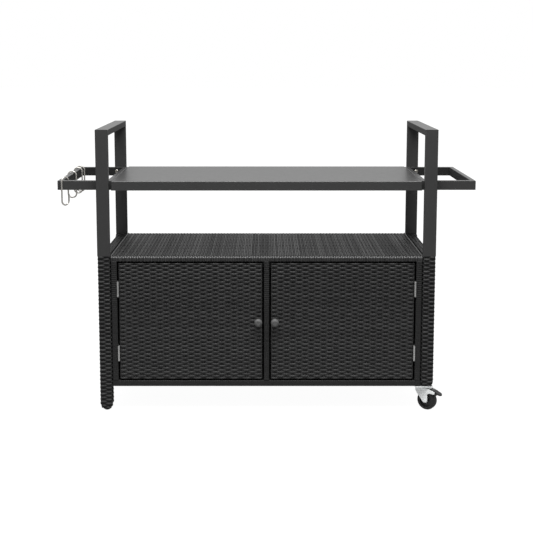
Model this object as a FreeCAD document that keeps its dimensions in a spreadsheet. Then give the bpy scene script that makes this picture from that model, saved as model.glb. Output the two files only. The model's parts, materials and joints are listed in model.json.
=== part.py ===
import FreeCAD, Part
import Sketcher
import os
import re

# Outdoor bar cart: two steel side frames carry a folded shelf and two handle rails above a
# woven cabinet with two hinged doors. Glides stand under the left legs, brake casters under
# the right. Millimetres, Z up, X to the right, the doors face -Y.

SIZES = {
    # whole cart, over the steel posts
    "cart_width": 1084,
    "cart_depth": 450,
    "cart_height": 918,
    # steel side frames of rectangular tube
    "post_width": 40,
    "post_depth": 20,
    "post_edge": 1.5,
    "tube_wall": 1.6,
    "sleeve_length": 110,
    "sleeve_wall": 1.5,
    "sleeve_gap": 0.2,
    "socket_slack": 1,
    # woven legs
    "leg_width": 42,
    "leg_depth": 42,
    "leg_proud": 0.8,
    "leg_corner": 6,
    "leg_toe": 5,
    # carcass of the cabinet
    "deck_level": 512,
    "carcass_bottom": 81,
    "back_setback": 5,
    "deck_thickness": 12,
    "floor_thickness": 12,
    "side_thickness": 34,
    "back_thickness": 20,
    "weave_thickness": 5,
    "panel_border": 25,
    # rows of the weave
    "row_pitch": 6.6,
    "top_row_pitch": 5.6,
    "row_groove": 1.8,
    "row_groove_width": 3.2,
    # face frame round the doors
    "face_setback": 5,
    "face_depth": 18,
    "stile_width": 19.8,
    "mullion_width": 18,
    "top_rail_height": 18,
    "bottom_rail_height": 20,
    "face_edge": 2,
    # doors
    "door_gap": 5,
    "door_skin": 5,
    "door_bar": 25,
    "door_edge": 2,
    # butt hinges
    "hinge_height": 49,
    "hinge_spacing": 212,
    "hinge_proud": 2,
    "knuckle_radius": 2.8,
    "knuckle_gap": 0.3,
    "leaf_thickness": 1.5,
    "leaf_depth": 16,
    "leaf_relief": 0.7,
    "pin_radius": 1.5,
    "pin_gap": 0.05,
    # door knobs
    "knob_inset": 12.8,
    "knob_length": 26,
    "knob_radius": 12.5,
    "knob_neck": 6.5,
    "knob_neck_length": 7.8,
    "knob_rim_start": 13.5,
    "knob_rim_end": 19.5,
    "knob_crown": 7.5,
    "knob_base": 8,
    "knob_round": 3,
    "screw_radius": 2,
    "screw_gap": 0.1,
    "screw_head": 4,
    "screw_head_height": 2.5,
    "screw_dome": 1.6,
    "screw_bite": 14,
    # magnetic catch behind the mullion
    "catch_width": 62,
    "catch_height": 16,
    "catch_depth": 13,
    "catch_gap": 0.3,
    "catch_below_rail": 14,
    "strike_width": 18,
    "strike_height": 14,
    "strike_thickness": 1.2,
    # serving shelf folded from sheet
    "shelf_setback": 5,
    "shelf_sheet": 2,
    "shelf_lip": 14,
    "shelf_corner": 4,
    "shelf_bend": 3,
    "stiffener_width": 60,
    "stiffener_height": 20,
    "stiffener_flange": 16,
    # handle rails
    "rail_top": 754,
    "rail_height": 30,
    "rail_width": 15,
    "rail_wall": 1.6,
    "rail_reach": 125,
    "rail_inset": 7,
    "rail_edge": 1.5,
    # bolts of the rails and the shelf
    "bolt_radius": 3,
    "bolt_gap": 0.3,
    "bolt_head": 6.3,
    "bolt_head_height": 3.5,
    "bolt_dome": 2.4,
    "bolt_bite": 8,
    "rail_bolt_inset": 9,
    "shelf_bolt_spacing": 220,
    # glides under the left legs
    "glide_radius": 13,
    "glide_height": 8,
    "glide_foot": 7.8,
    "glide_side": 4,
    "glide_stem": 4,
    "glide_stem_length": 20,
    "glide_gap": 0.1,
    # caster plates and their bolts
    "caster_across": 29.5,
    "caster_back": 29,
    "plate_size": 58,
    "plate_thickness": 2.5,
    "plate_corner": 6,
    "boss_radius": 19,
    "boss_height": 2.5,
    "plate_bolt_spacing": 34,
    "plate_bolt_radius": 2.5,
    "plate_bolt_head": 4.5,
    "plate_bolt_head_height": 2,
    "plate_bolt_dome": 1.4,
    "plate_bolt_bite": 12,
    # swivel bearing
    "kingpin_radius": 5,
    "kingpin_head": 8,
    "kingpin_head_height": 3,
    "swivel_gap": 0.3,
    "running_gap": 0.05,
    "race_radius": 14,
    "ball_radius": 2,
    "race_clearance": 2.6,
    # forks
    "caster_turn": 33,
    "trail": 16,
    "crown_thickness": 3,
    "fork_width": 31,
    "fork_wall": 2.5,
    "crown_radius": 20,
    "fork_tip": 6.5,
    "ear_reach": 8,
    "ear_drop": 4,
    "ear_rise": 3.5,
    "fork_shoulder": 9,
    "shoulder_round": 22,
    "fork_arch": 8,
    "arch_rise": 2,
    "ear_round": 4,
    # wheels
    "wheel_radius": 31.5,
    "tyre_width": 22,
    "tyre_thickness": 7,
    "tyre_round": 5,
    "hub_side_gap": 0.6,
    "hub_boss": 8,
    "hub_web": 10,
    "hub_rim": 3,
    "tyre_gap": 0.05,
    "axle_radius": 3,
    "axle_head": 4.6,
    "axle_head_height": 1.6,
    # brake pedals
    "brake_across": 24,
    "brake_above": 29.5,
    "brake_pin": 2,
    "brake_pin_head": 3.2,
    "brake_pin_head_height": 1.25,
    "pedal_width": 20,
    "pedal_reach": 27,
    "pedal_tip": 9,
    "pedal_rise": 6,
    "pedal_drop": 8,
    "pedal_thickness": 4,
    "pedal_back": 4,
    "pedal_heel": 3,
    "pedal_heel_rise": 4.8,
    "shoe_drop": 9.5,
    "shoe_out": 4.5,
    "shoe_width": 6,
    "shoe_root": 7.8,
    # wire hooks on the left rail
    "hook_wire": 5,
    "hook_bend": 14,
    "hook_height": 94,
    "hook_tip": 20,
    "hook_clearance": 0.3,
    "corner_hook_lift": 1.5,
    "corner_hook_turn": 40,
    "corner_hook_inset": 23,
    "near_hook_inset": 180,
    "middle_hook_inset": 65,
    "far_hook_inset": 17,
}

PLACES = {
    "half_width": "cart_width / 2",
    "knob_stand": "knob_length - face_setback",
    "front": "(knob_stand - cart_depth - leg_proud) / 2",
    "back": "front + cart_depth",
    "middle": "front + cart_depth / 2",
    "post_inner": "half_width - post_width",
    "post_centre": "half_width - post_width / 2",
    "bore_width": "post_width - 2 * tube_wall",
    "bore_depth": "post_depth - 2 * tube_wall",
    "sleeve_width": "bore_width - 2 * sleeve_gap",
    "sleeve_depth": "bore_depth - 2 * sleeve_gap",
    "leg_outer": "half_width + leg_proud",
    "leg_front": "front - leg_proud",
    "leg_behind": "leg_front + leg_depth",
    "back_leg_front": "back + leg_proud - leg_depth",
    "inside": "leg_outer - leg_width",
    "side_outer": "inside + side_thickness",
    "face": "front + face_setback",
    "face_behind": "face + face_depth",
    "carcass_back": "back - back_setback",
    "lining_back": "carcass_back - back_thickness",
    "floor_level": "carcass_bottom + floor_thickness",
    "deck_under": "deck_level - deck_thickness",
    "opening_top": "deck_level - top_rail_height",
    "opening_bottom": "carcass_bottom + bottom_rail_height",
    "stile_inner": "inside - stile_width",
    "door_outer": "stile_inner - door_gap",
    "door_inner": "mullion_width / 2 + door_gap",
    "door_top": "opening_top - door_gap",
    "door_bottom": "opening_bottom + door_gap",
    "door_middle": "(door_top + door_bottom) / 2",
    "door_core": "face + door_skin",
    "door_rows": "round((door_top - door_bottom) / row_pitch)",
    "door_row": "(door_top - door_bottom) / door_rows",
    "side_rows": "round((deck_level - carcass_bottom) / row_pitch)",
    "side_row": "(deck_level - carcass_bottom) / side_rows",
    "back_rows": "round((deck_under - carcass_bottom) / row_pitch)",
    "back_row": "(deck_under - carcass_bottom) / back_rows",
    "deck_rows": "round(2 * inside / top_row_pitch)",
    "deck_row": "2 * inside / deck_rows",
    "deck_middle": "(face_behind + carcass_back) / 2",
    "hinge_x": "stile_inner - door_gap / 2",
    "hinge_y": "face - hinge_proud",
    "knuckle_pitch": "hinge_height / 5",
    "leaf_start": "hinge_y + knuckle_radius + leaf_relief",
    "leaf_end": "face + leaf_depth",
    "knob_x": "door_inner + knob_inset",
    "catch_middle": "opening_top - catch_below_rail",
    "shelf_half": "post_inner - rail_inset",
    "shelf_front": "front + shelf_setback",
    "shelf_back": "back - shelf_setback",
    "shelf_under": "rail_top - shelf_sheet",
    "rail_low": "rail_top - rail_height",
    "rail_mid": "rail_top - rail_height / 2",
    "rail_outer": "half_width + rail_reach",
    "rail_front": "front + post_depth",
    "rail_back": "back - post_depth",
    "arm_inner": "rail_back - rail_width",
    "rail_bolt_x": "half_width - rail_bolt_inset",
    "caster_x": "half_width - caster_across",
    "plate_under": "carcass_bottom - plate_thickness",
    "boss_under": "plate_under - boss_height",
    "crown_top": "boss_under - race_clearance",
    "crown_under": "crown_top - crown_thickness",
    "ball_level": "boss_under - race_clearance / 2",
    "groove_radius": "ball_radius + swivel_gap",
    "fork_gap": "fork_width - 2 * fork_wall",
    "hub_width": "fork_gap - 2 * hub_side_gap",
    "hub_radius": "wheel_radius - tyre_thickness",
    "brake_x": "trail + brake_across",
    "brake_z": "wheel_radius + brake_above",
    "hook_centre": "rail_outer - rail_width / 2",
    "wire_radius": "hook_wire / 2",
    "hook_inner": "hook_bend - wire_radius - hook_clearance",
    "hook_stem": "hook_height - 2 * hook_bend - hook_wire",
}

doc = FreeCAD.newDocument("bar_cart")
sizes = doc.addObject("Spreadsheet::Sheet", "Sizes")
places = doc.addObject("Spreadsheet::Sheet", "Places")
nodes = []

WORD = re.compile(r"[a-z][a-z_]*")
MIRROR_X = FreeCAD.Vector(1, 0, 0)
MIRROR_Y = FreeCAD.Vector(0, 1, 0)
UPRIGHT = FreeCAD.Rotation()
TURNED = {
    "+x": FreeCAD.Rotation(FreeCAD.Vector(0, 1, 0), 90),
    "+y": FreeCAD.Rotation(FreeCAD.Vector(1, 0, 0), -90),
    "-y": FreeCAD.Rotation(FreeCAD.Vector(1, 0, 0), 90),
    "+z": UPRIGHT,
    "-z": FreeCAD.Rotation(FreeCAD.Vector(1, 0, 0), 180),
}


def formula(text):
    """Point each word of a formula at the sheet that holds it."""

    def address(match):
        word = match.group(0)
        if word in SIZES:
            return "Sizes." + word
        if word in PLACES:
            return "Places." + word
        return word

    return WORD.sub(address, str(text))


def fill_sheets():
    for row, (name, value) in enumerate(SIZES.items(), 1):
        sizes.set(f"A{row}", str(value))
        sizes.setAlias(f"A{row}", name)
    doc.recompute()
    for row, (name, text) in enumerate(PLACES.items(), 1):
        places.set(f"A{row}", "=" + formula(text))
        places.setAlias(f"A{row}", name)
    doc.recompute()


def number(text):
    return float(sizes.evalExpression(formula(text)))


def bind(item, field, text):
    item.setExpression(field, formula(text))


def place(item, x="0", y="0", z="0", pointing="+z"):
    item.Placement = FreeCAD.Placement(FreeCAD.Vector(), TURNED[pointing])
    for letter, text in zip("xyz", (x, y, z)):
        bind(item, "Placement.Base." + letter, text)
    return item


def place_on_caster(item, y, along="0", level="0"):
    """Put a caster piece at its distance along the trail, turned with the swivel."""
    item.Placement = FreeCAD.Placement(FreeCAD.Vector(), FreeCAD.Rotation(FreeCAD.Vector(0, 0, 1), -1))
    bind(item, "Placement.Rotation.Angle", "-caster_turn")
    bind(item, "Placement.Base.x", f"caster_x + ({along}) * cos(caster_turn)")
    bind(item, "Placement.Base.y", f"({y}) - ({along}) * sin(caster_turn)")
    bind(item, "Placement.Base.z", level)
    return item


def node(label, item):
    item.Label = label
    nodes.append(item)
    return item


# Plain pieces and how they are combined

def block(name, x, y, z):
    piece = doc.addObject("Part::Box", name)
    for side, (low, high) in zip(("Length", "Width", "Height"), (x, y, z)):
        bind(piece, side, f"({high}) - ({low})")
    return place(piece, x[0], y[0], z[0])


def rod(name, radius, length, x, y, z, pointing="+z"):
    piece = doc.addObject("Part::Cylinder", name)
    bind(piece, "Radius", radius)
    bind(piece, "Height", length)
    return place(piece, x, y, z, pointing)


def group(name, pieces):
    piece = doc.addObject("Part::Compound", name)
    piece.Links = pieces
    return piece


def join(name, pieces):
    piece = doc.addObject("Part::MultiFuse", name)
    piece.Shapes = pieces
    return piece


def cut(name, base, tools):
    piece = doc.addObject("Part::Cut", name)
    piece.Base = base
    piece.Tool = tools[0] if len(tools) == 1 else group(name + "_cutters", tools)
    return piece


def mirror(name, source, normal, y="0"):
    piece = doc.addObject("Part::Mirroring", name)
    piece.Source = source
    piece.Normal = normal
    bind(piece, "Base.y", y)
    return piece


# Sketches and the features made from them

def origin(body, role):
    return next(item for item in body.Origin.OriginFeatures if item.Role == role)


def tie(drawing, kind, axis, edge, text):
    """Tie the start of an edge to an axis distance from the origin."""
    if text == "0":
        drawing.addConstraint(Sketcher.Constraint("PointOnObject", edge, 1, axis))
        return
    tied = drawing.addConstraint(Sketcher.Constraint(kind, -1, 1, edge, 1, number(text)))
    drawing.setExpression(f"Constraints[{tied}]", formula(text))


def draw(body, name, plane, outlines, level="0"):
    """Sketch closed outlines whose corners are tied to the sheets."""
    drawing = body.newObject("Sketcher::SketchObject", name)
    drawing.AttachmentSupport = [(origin(body, plane), "")]
    drawing.MapMode = "FlatFace"
    bind(drawing, "AttachmentOffset.Base.z", level)
    for corners in outlines:
        first = drawing.GeometryCount
        spots = [FreeCAD.Vector(number(across), number(up), 0) for across, up in corners]
        for here, after in zip(spots, spots[1:] + spots[:1]):
            drawing.addGeometry(Part.LineSegment(here, after))
        for step, (across, up) in enumerate(corners):
            edge = first + step
            before = first + (step - 1) % len(corners)
            drawing.addConstraint(Sketcher.Constraint("Coincident", before, 2, edge, 1))
            tie(drawing, "DistanceX", -2, edge, across)
            tie(drawing, "DistanceY", -1, edge, up)
    return drawing


def rectangle(x, y):
    return [(x[0], y[0]), (x[1], y[0]), (x[1], y[1]), (x[0], y[1])]


def new_body(name):
    return doc.addObject("PartDesign::Body", name)


def pad(body, name, drawing, length, both_ways=False):
    feature = body.newObject("PartDesign::Pad", name)
    feature.Profile = drawing
    bind(feature, "Length", length)
    feature.Midplane = both_ways
    return feature


def pocket(body, name, drawing, length, both_ways=False, backwards=False):
    feature = body.newObject("PartDesign::Pocket", name)
    feature.Profile = drawing
    bind(feature, "Length", length)
    feature.Midplane = both_ways
    feature.Reversed = backwards
    return feature


def turn(name, corners, axis="Z"):
    """Turn a profile of (radius, height) corners about an axis."""
    plane = {"Z": "XZ_Plane", "Y": "XY_Plane"}[axis]
    body = new_body(name)
    drawing = draw(body, name + "_profile", plane, [corners])
    feature = body.newObject("PartDesign::Revolution", name + "_turned")
    feature.Profile = drawing
    feature.ReferenceAxis = (origin(body, axis + "_Axis"), [""])
    feature.Angle = 360
    return body


def soften(body, name, radius, chosen):
    """Round the edges that the rule picks."""
    doc.recompute()
    base = body.Tip
    edges = [f"Edge{count}" for count, edge in enumerate(base.Shape.Edges, 1) if chosen(edge)]
    feature = body.newObject("PartDesign::Fillet", name)
    feature.Base = (base, edges)
    bind(feature, "Radius", radius)
    return feature


def runs_along(edge, axis):
    return edge.Curve.TypeId == "Part::GeomLine" and abs(edge.Curve.Direction[axis]) > 0.99


def is_round(edge):
    return edge.Curve.TypeId == "Part::GeomCircle"


def lies_at(edge, axis, level):
    return all(abs(corner.Point[axis] - level) < 0.01 for corner in edge.Vertexes)


def bar(name, x, y, z, axis, radius):
    """Straight bar with its long edges rounded, such as a wrapped rail."""
    body = new_body(name)
    spans = {"x": x, "y": y, "z": z}
    if axis == "x":
        outline = rectangle(("0", f"({y[1]}) - ({y[0]})"), ("0", f"({z[1]}) - ({z[0]})"))
        drawing = draw(body, name + "_section", "YZ_Plane", [outline])
    else:
        outline = rectangle(("0", f"({x[1]}) - ({x[0]})"), ("0", f"({y[1]}) - ({y[0]})"))
        drawing = draw(body, name + "_section", "XY_Plane", [outline])
    low, high = spans[axis]
    pad(body, name + "_length", drawing, f"({high}) - ({low})")
    soften(body, name + "_edges", radius, lambda edge: runs_along(edge, "xyz".index(axis)))
    return place(body, x[0], y[0], z[0])


def weave_rows(body, panel, plane, face, inward, start, level, length, along="Z"):
    """Grooves between the woven rows of a panel: one cut across its face, repeated row by row."""
    outward = {"+": "-", "-": "+"}[inward]
    mouth = f"{face} {outward} row_groove"
    tip = f"{face} {inward} row_groove"
    first = f"{start} + {panel}_row"
    corners = [(mouth, f"{first} - row_groove_width"), (tip, first), (mouth, f"{first} + row_groove_width")]
    if along == "X":
        corners = [(across, depth) for depth, across in corners]
    section = draw(body, panel + "_groove_section", plane, [corners], level)
    groove = pocket(body, panel + "_groove", section, f"{length} + 2 * socket_slack", both_ways=True)
    doc.recompute()
    rows = body.newObject("PartDesign::LinearPattern", panel + "_groove_rows")
    rows.Originals = [groove]
    rows.Direction = (origin(body, along + "_Axis"), [""])
    bind(rows, "Length", f"({panel}_rows - 2) * {panel}_row")
    bind(rows, "Occurrences", f"{panel}_rows - 1")
    body.Tip = rows


def domed_bolt(name, head, head_height, dome, shank, length):
    """Bolt whose head stands on the plane of its origin and whose shank points down."""
    body = turn(name, [
        ("0", head_height), (head, head_height), (head, "0"), (shank, "0"),
        (shank, f"-({length})"), ("0", f"-({length})"),
    ])
    top = number(head_height)
    soften(body, name + "_dome", dome, lambda edge: is_round(edge) and lies_at(edge, 2, top))
    return body


# Steel side frames

POST_Y = {"front": "front + post_depth / 2", "back": "back - post_depth / 2"}
LEG_Y = {"front": "leg_front", "back": "back_leg_front"}
CASTER_Y = {"front": "front + caster_back", "back": "back - caster_back"}


def frame_outline(inset):
    """Inverted U of the tube, drawn in by the inset on every side."""
    low = "deck_level"
    return [
        (f"front + {inset}", low),
        (f"front + {inset}", f"cart_height - {inset}"),
        (f"back - {inset}", f"cart_height - {inset}"),
        (f"back - {inset}", low),
        (f"back - post_depth + {inset}", low),
        (f"back - post_depth + {inset}", f"cart_height - post_depth + {inset}"),
        (f"front + post_depth - {inset}", f"cart_height - post_depth + {inset}"),
        (f"front + post_depth - {inset}", low),
    ]


def side_frames():
    body = new_body("frame_tube")
    outer = draw(body, "frame_outer", "YZ_Plane", [frame_outline("0")])
    pad(body, "frame_pad", outer, "post_width", both_ways=True)
    foot = number("deck_level")
    soften(body, "frame_edges", "post_edge",
           lambda edge: not runs_along(edge, 0) and not lies_at(edge, 2, foot))
    bore = draw(body, "frame_bore", "YZ_Plane", [frame_outline("tube_wall")])
    pocket(body, "frame_hollow", bore, "bore_width", both_ways=True)
    place(body, "post_centre")
    holes = [
        rod("post_hole_front", "bolt_radius + bolt_gap", "2 * tube_wall", "rail_bolt_x",
            "rail_front - 1.5 * tube_wall", "rail_mid", "+y"),
        rod("post_hole_back", "bolt_radius + bolt_gap", "2 * tube_wall", "rail_bolt_x",
            "rail_back - tube_wall / 2", "rail_mid", "+y"),
    ]
    right = node("right_side_frame", cut("right_frame", body, holes))
    node("left_side_frame", mirror("left_frame", right, MIRROR_X))


def span(centre, width):
    return (f"({centre}) - ({width}) / 2", f"({centre}) + ({width}) / 2")


def post_sleeves():
    """Joining sleeves, half in each post and half in the leg below it."""
    pieces = []
    height = span("deck_level", "sleeve_length")
    for end, y in POST_Y.items():
        outer = block(f"{end}_sleeve_outer", span("post_centre", "sleeve_width"),
                      span(y, "sleeve_depth"), height)
        inner = block(f"{end}_sleeve_inner", span("post_centre", "sleeve_width - 2 * sleeve_wall"),
                      span(y, "sleeve_depth - 2 * sleeve_wall"), height)
        pieces.append(cut(f"{end}_sleeve", outer, [inner]))
    right = group("right_sleeves", pieces)
    node("post_sleeves", group("sleeves", [right, mirror("left_sleeves", right, MIRROR_X)]))


# Woven legs

def caster_bolt_spots(end):
    half = "plate_bolt_spacing / 2"
    y = CASTER_Y[end]
    return [(f"caster_x {a} {half}", f"{y} {b} {half}") for a in "+-" for b in "+-"]


def caster_bolt_holes(owner, end):
    return [
        rod(f"{owner}_{end}_bolt_hole_{count}", "plate_bolt_radius + bolt_gap",
            "plate_bolt_bite + socket_slack", x, y, "carcass_bottom")
        for count, (x, y) in enumerate(caster_bolt_spots(end), 1)
    ]


def leg(side, end):
    name = f"{end}_{side}_leg"
    low = {"left": "glide_height", "right": "carcass_bottom"}[side]
    left_edge = {"left": "-leg_outer", "right": "inside"}[side]
    post_x = {"left": "-post_centre", "right": "post_centre"}[side]
    body = new_body(name + "_stick")
    section = draw(body, name + "_section", "XY_Plane", [rectangle(("0", "leg_width"), ("0", "leg_depth"))])
    pad(body, name + "_pad", section, f"deck_level - {low}")
    soften(body, name + "_corners", "leg_corner", lambda edge: runs_along(edge, 2))
    soften(body, name + "_toe", "leg_toe", lambda edge: lies_at(edge, 2, 0))
    place(body, left_edge, LEG_Y[end], low)
    tools = [block(name + "_socket", span(post_x, "bore_width"), span(POST_Y[end], "bore_depth"),
                   ("deck_level - sleeve_length / 2 - socket_slack", "deck_level + socket_slack"))]
    if side == "left":
        tools.append(rod(name + "_stem_hole", "glide_stem + glide_gap", "glide_stem_length + glide_gap",
                         f"{left_edge} + leg_width / 2", f"{LEG_Y[end]} + leg_depth / 2", low))
    else:
        tools += caster_bolt_holes(name, end)
    node(name, cut(name, body, tools))


def legs():
    for side in ("left", "right"):
        for end in ("front", "back"):
            leg(side, end)


def leg_glides():
    pieces = []
    for end in ("front", "back"):
        glide = turn(end + "_glide", [
            ("0", "0"), ("glide_foot", "0"), ("glide_radius", "glide_height - glide_side"),
            ("glide_radius", "glide_height"), ("glide_stem", "glide_height"),
            ("glide_stem", "glide_height + glide_stem_length"), ("0", "glide_height + glide_stem_length"),
        ])
        pieces.append(place(glide, "leg_width / 2 - leg_outer", f"{LEG_Y[end]} + leg_depth / 2"))
    node("leg_glides", group("glides", pieces))


# Cabinet carcass

WHOLE_WIDTH = ("-inside", "inside")
FACE_DEPTH = ("face", "face_behind")


def side_panels():
    y = ("leg_behind", "back_leg_front")
    z = ("carcass_bottom", "deck_level")
    outer = new_body("side_panel_outer")
    outline = draw(outer, "side_panel_outline", "YZ_Plane", [rectangle(y, z)], "inside")
    pad(outer, "side_panel_pad", outline, "side_thickness")
    weave_rows(outer, "side", "XZ_Plane", "side_outer", "-", "carcass_bottom", "-middle",
               "back_leg_front - leg_behind")
    recess = block("side_panel_recess", ("inside", "side_outer - weave_thickness"),
                   ("leg_behind + panel_border", "back_leg_front - panel_border"),
                   ("carcass_bottom + panel_border", "deck_level - panel_border"))
    plain = cut("side_panel", outer, [recess])
    node("left_side_panel", mirror("left_panel", plain, MIRROR_X))
    holes = caster_bolt_holes("side_panel", "front") + caster_bolt_holes("side_panel", "back")
    node("right_side_panel", cut("right_panel", plain, holes))


def back_panel():
    outer = new_body("back_outer")
    outline = draw(outer, "back_outline", "XZ_Plane",
                   [rectangle(WHOLE_WIDTH, ("carcass_bottom", "deck_under"))], "-carcass_back")
    pad(outer, "back_pad", outline, "back_thickness")
    weave_rows(outer, "back", "YZ_Plane", "carcass_back", "-", "carcass_bottom", "0", "2 * inside")
    recess = block("back_recess", ("-inside + panel_border", "inside - panel_border"),
                   ("lining_back", "carcass_back - weave_thickness"),
                   ("carcass_bottom + panel_border", "deck_under - panel_border"))
    node("back_panel", cut("back_drilled", cut("back_plain", outer, [recess]),
                           caster_bolt_holes("back_panel", "back")))


def cabinet_top():
    outer = new_body("deck_outer")
    outline = draw(outer, "deck_outline", "XY_Plane",
                   [rectangle(WHOLE_WIDTH, ("face_behind", "carcass_back"))], "deck_under")
    pad(outer, "deck_pad", outline, "deck_thickness")
    weave_rows(outer, "deck", "XZ_Plane", "deck_level", "-", "-inside", "-deck_middle",
               "carcass_back - face_behind", along="X")
    y = ("face_behind + panel_border", "lining_back - panel_border")
    z = ("deck_under", "deck_level - weave_thickness")
    bays = [
        block("deck_bay_left", ("-inside + panel_border", "-panel_border / 2"), y, z),
        block("deck_bay_right", ("panel_border / 2", "inside - panel_border"), y, z),
    ]
    node("cabinet_top", cut("deck", outer, bays))


def cabinet_floor():
    plain = block("floor_plain", WHOLE_WIDTH, ("face_behind", "lining_back"),
                  ("carcass_bottom", "floor_level"))
    holes = caster_bolt_holes("floor", "front") + caster_bolt_holes("floor", "back")
    node("cabinet_floor", cut("floor_drilled", plain, holes))


def face_frame():
    top_rail = ("opening_top", "deck_level")
    bottom_rail = ("carcass_bottom", "opening_bottom")
    node("front_top_rail", bar("top_rail", WHOLE_WIDTH, FACE_DEPTH, top_rail, "x", "face_edge"))
    bottom = bar("bottom_rail", WHOLE_WIDTH, FACE_DEPTH, bottom_rail, "x", "face_edge")
    node("front_bottom_rail", cut("bottom_rail_drilled", bottom, caster_bolt_holes("bottom_rail", "front")))
    upright = ("opening_bottom", "opening_top")
    stile = bar("stile", ("stile_inner", "inside"), FACE_DEPTH, upright, "z", "face_edge")
    right = node("right_stile", stile)
    node("left_stile", mirror("left_stile", right, MIRROR_X))
    node("centre_mullion", bar("mullion", span("0", "mullion_width"), FACE_DEPTH, upright, "z", "face_edge"))


# Doors, their hinges, knobs and catch

def knob_hole(name):
    return rod(name, "screw_radius + screw_gap", "face_depth + 2 * socket_slack", "knob_x",
               "face - socket_slack", "door_middle", "+y")


def door_frame():
    body = new_body("door_ring")
    outer = rectangle(("door_inner", "door_outer"), ("door_bottom", "door_top"))
    inner = rectangle(("door_inner + door_bar", "door_outer - door_bar"),
                      ("door_bottom + door_bar", "door_top - door_bar"))
    outline = draw(body, "door_ring_outline", "XZ_Plane", [outer, inner])
    pad(body, "door_ring_pad", outline, "face_depth - door_skin")
    place(body, "0", "face_behind")
    return cut("door_ring_drilled", body, [knob_hole("door_ring_hole")])


def door_panel():
    body = new_body("door_sheet")
    outline = rectangle(("door_inner", "door_outer"), ("door_bottom", "door_top"))
    pad(body, "door_sheet_pad", draw(body, "door_sheet_outline", "XZ_Plane", [outline]), "door_skin")
    soften(body, "door_sheet_edges", "door_edge", lambda edge: lies_at(edge, 1, -number("door_skin")))
    weave_rows(body, "door", "YZ_Plane", "-door_skin", "+", "door_bottom",
               "(door_inner + door_outer) / 2", "door_outer - door_inner")
    place(body, "0", "door_core")
    return cut("door_sheet_drilled", body, [knob_hole("door_sheet_hole")])


def knob():
    body = turn("knob_turned", [
        ("screw_radius + screw_gap", "0"), ("knob_base", "0"), ("knob_neck", "knob_neck_length"),
        ("knob_radius", "knob_rim_start"), ("knob_radius", "knob_rim_end"),
        ("knob_crown", "knob_length"), ("0", "knob_length"),
        ("0", "screw_bite"), ("screw_radius + screw_gap", "screw_bite"),
    ])
    widest = number("knob_radius")
    soften(body, "knob_rounds", "knob_round",
           lambda edge: is_round(edge) and abs(edge.Curve.Radius - widest) < 0.01)
    return place(body, "knob_x", "face", "door_middle", "-y")


def knob_screw():
    screw = domed_bolt("knob_bolt", "screw_head", "screw_head_height", "screw_dome", "screw_radius",
                       "face_depth + screw_bite - socket_slack")
    return place(screw, "knob_x", "face_behind", "door_middle", "+y")


def hinge_leaf(name, middle, x, knuckles):
    """Leaf with the knuckles that it owns, bored for the pin."""
    low = f"{middle} - hinge_height / 2"
    pieces = [block(name + "_plate", x, ("leaf_start", "leaf_end"), span(middle, "hinge_height"))]
    for count in knuckles:
        start = f"{low} + {count} * knuckle_pitch + knuckle_gap / 2"
        stop = f"{low} + {count + 1} * knuckle_pitch - knuckle_gap / 2"
        pieces.append(rod(f"{name}_knuckle_{count}", "knuckle_radius", "knuckle_pitch - knuckle_gap",
                          "hinge_x", "hinge_y", start))
        pieces.append(block(f"{name}_tongue_{count}", x, ("hinge_y", "leaf_start"), (start, stop)))
    bore = rod(name + "_bore", "pin_radius + pin_gap", "hinge_height", "hinge_x", "hinge_y", low)
    return cut(name, join(name + "_whole", pieces), [bore])


def hinges():
    """Frame leaves and pins of all four hinges, and the leaves of the right door."""
    frame_leaves = []
    door_leaves = []
    pins = []
    for which, sign in (("upper", "+"), ("lower", "-")):
        middle = f"door_middle {sign} hinge_spacing / 2"
        frame_leaves.append(hinge_leaf(which + "_frame_leaf", middle,
                                       ("stile_inner - leaf_thickness", "stile_inner"), (0, 2, 4)))
        door_leaves.append(hinge_leaf(which + "_door_leaf", middle,
                                      ("door_outer", "door_outer + leaf_thickness"), (1, 3)))
        pins.append(rod(which + "_pin", "pin_radius", "hinge_height", "hinge_x", "hinge_y",
                        f"{middle} - hinge_height / 2"))
    right_leaves = group("right_frame_leaves", frame_leaves)
    right_pins = group("right_pins", pins)
    left_leaves = mirror("left_frame_leaves", right_leaves, MIRROR_X)
    node("hinge_frame_leaves", group("frame_leaves", [right_leaves, left_leaves]))
    node("hinge_pins", group("all_pins", [right_pins, mirror("left_pins", right_pins, MIRROR_X)]))
    return group("door_leaves", door_leaves)


def doors():
    start = "door_inner + catch_gap"
    strike = block("strike", (start, f"{start} + strike_width"),
                   ("face_behind", "face_behind + strike_thickness"), span("catch_middle", "strike_height"))
    pieces = {
        "door_frame": door_frame(), "door_panel": door_panel(), "knob": knob(), "knob_screw": knob_screw(),
        "hinge_leaves": hinges(), "strike_plate": strike,
    }
    for name, piece in pieces.items():
        node("right_" + name, piece)
        node("left_" + name, mirror("left_" + name, piece, MIRROR_X))


def door_catch():
    gap = "strike_thickness + catch_gap"
    height = span("catch_middle", "catch_height")
    foot = block("catch_foot", span("0", "mullion_width"), ("face_behind", f"face_behind + {gap}"), height)
    case = block("catch_case", span("0", "catch_width"),
                 (f"face_behind + {gap}", f"face_behind + {gap} + catch_depth"), height)
    node("door_catch", join("catch", [foot, case]))


# Serving shelf and handle rails

def shelf_outline(inset):
    return rectangle((f"-shelf_half + {inset}", f"shelf_half - {inset}"),
                     (f"shelf_front + {inset}", f"shelf_back - {inset}"))


def shelf_bolt_holes(owner, start, length):
    return [
        rod(f"{owner}_shelf_hole_{count}", "bolt_radius + bolt_gap", length, start,
            f"middle {sign} shelf_bolt_spacing / 2", "rail_mid", "+x")
        for count, sign in enumerate("+-", 1)
    ]


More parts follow.
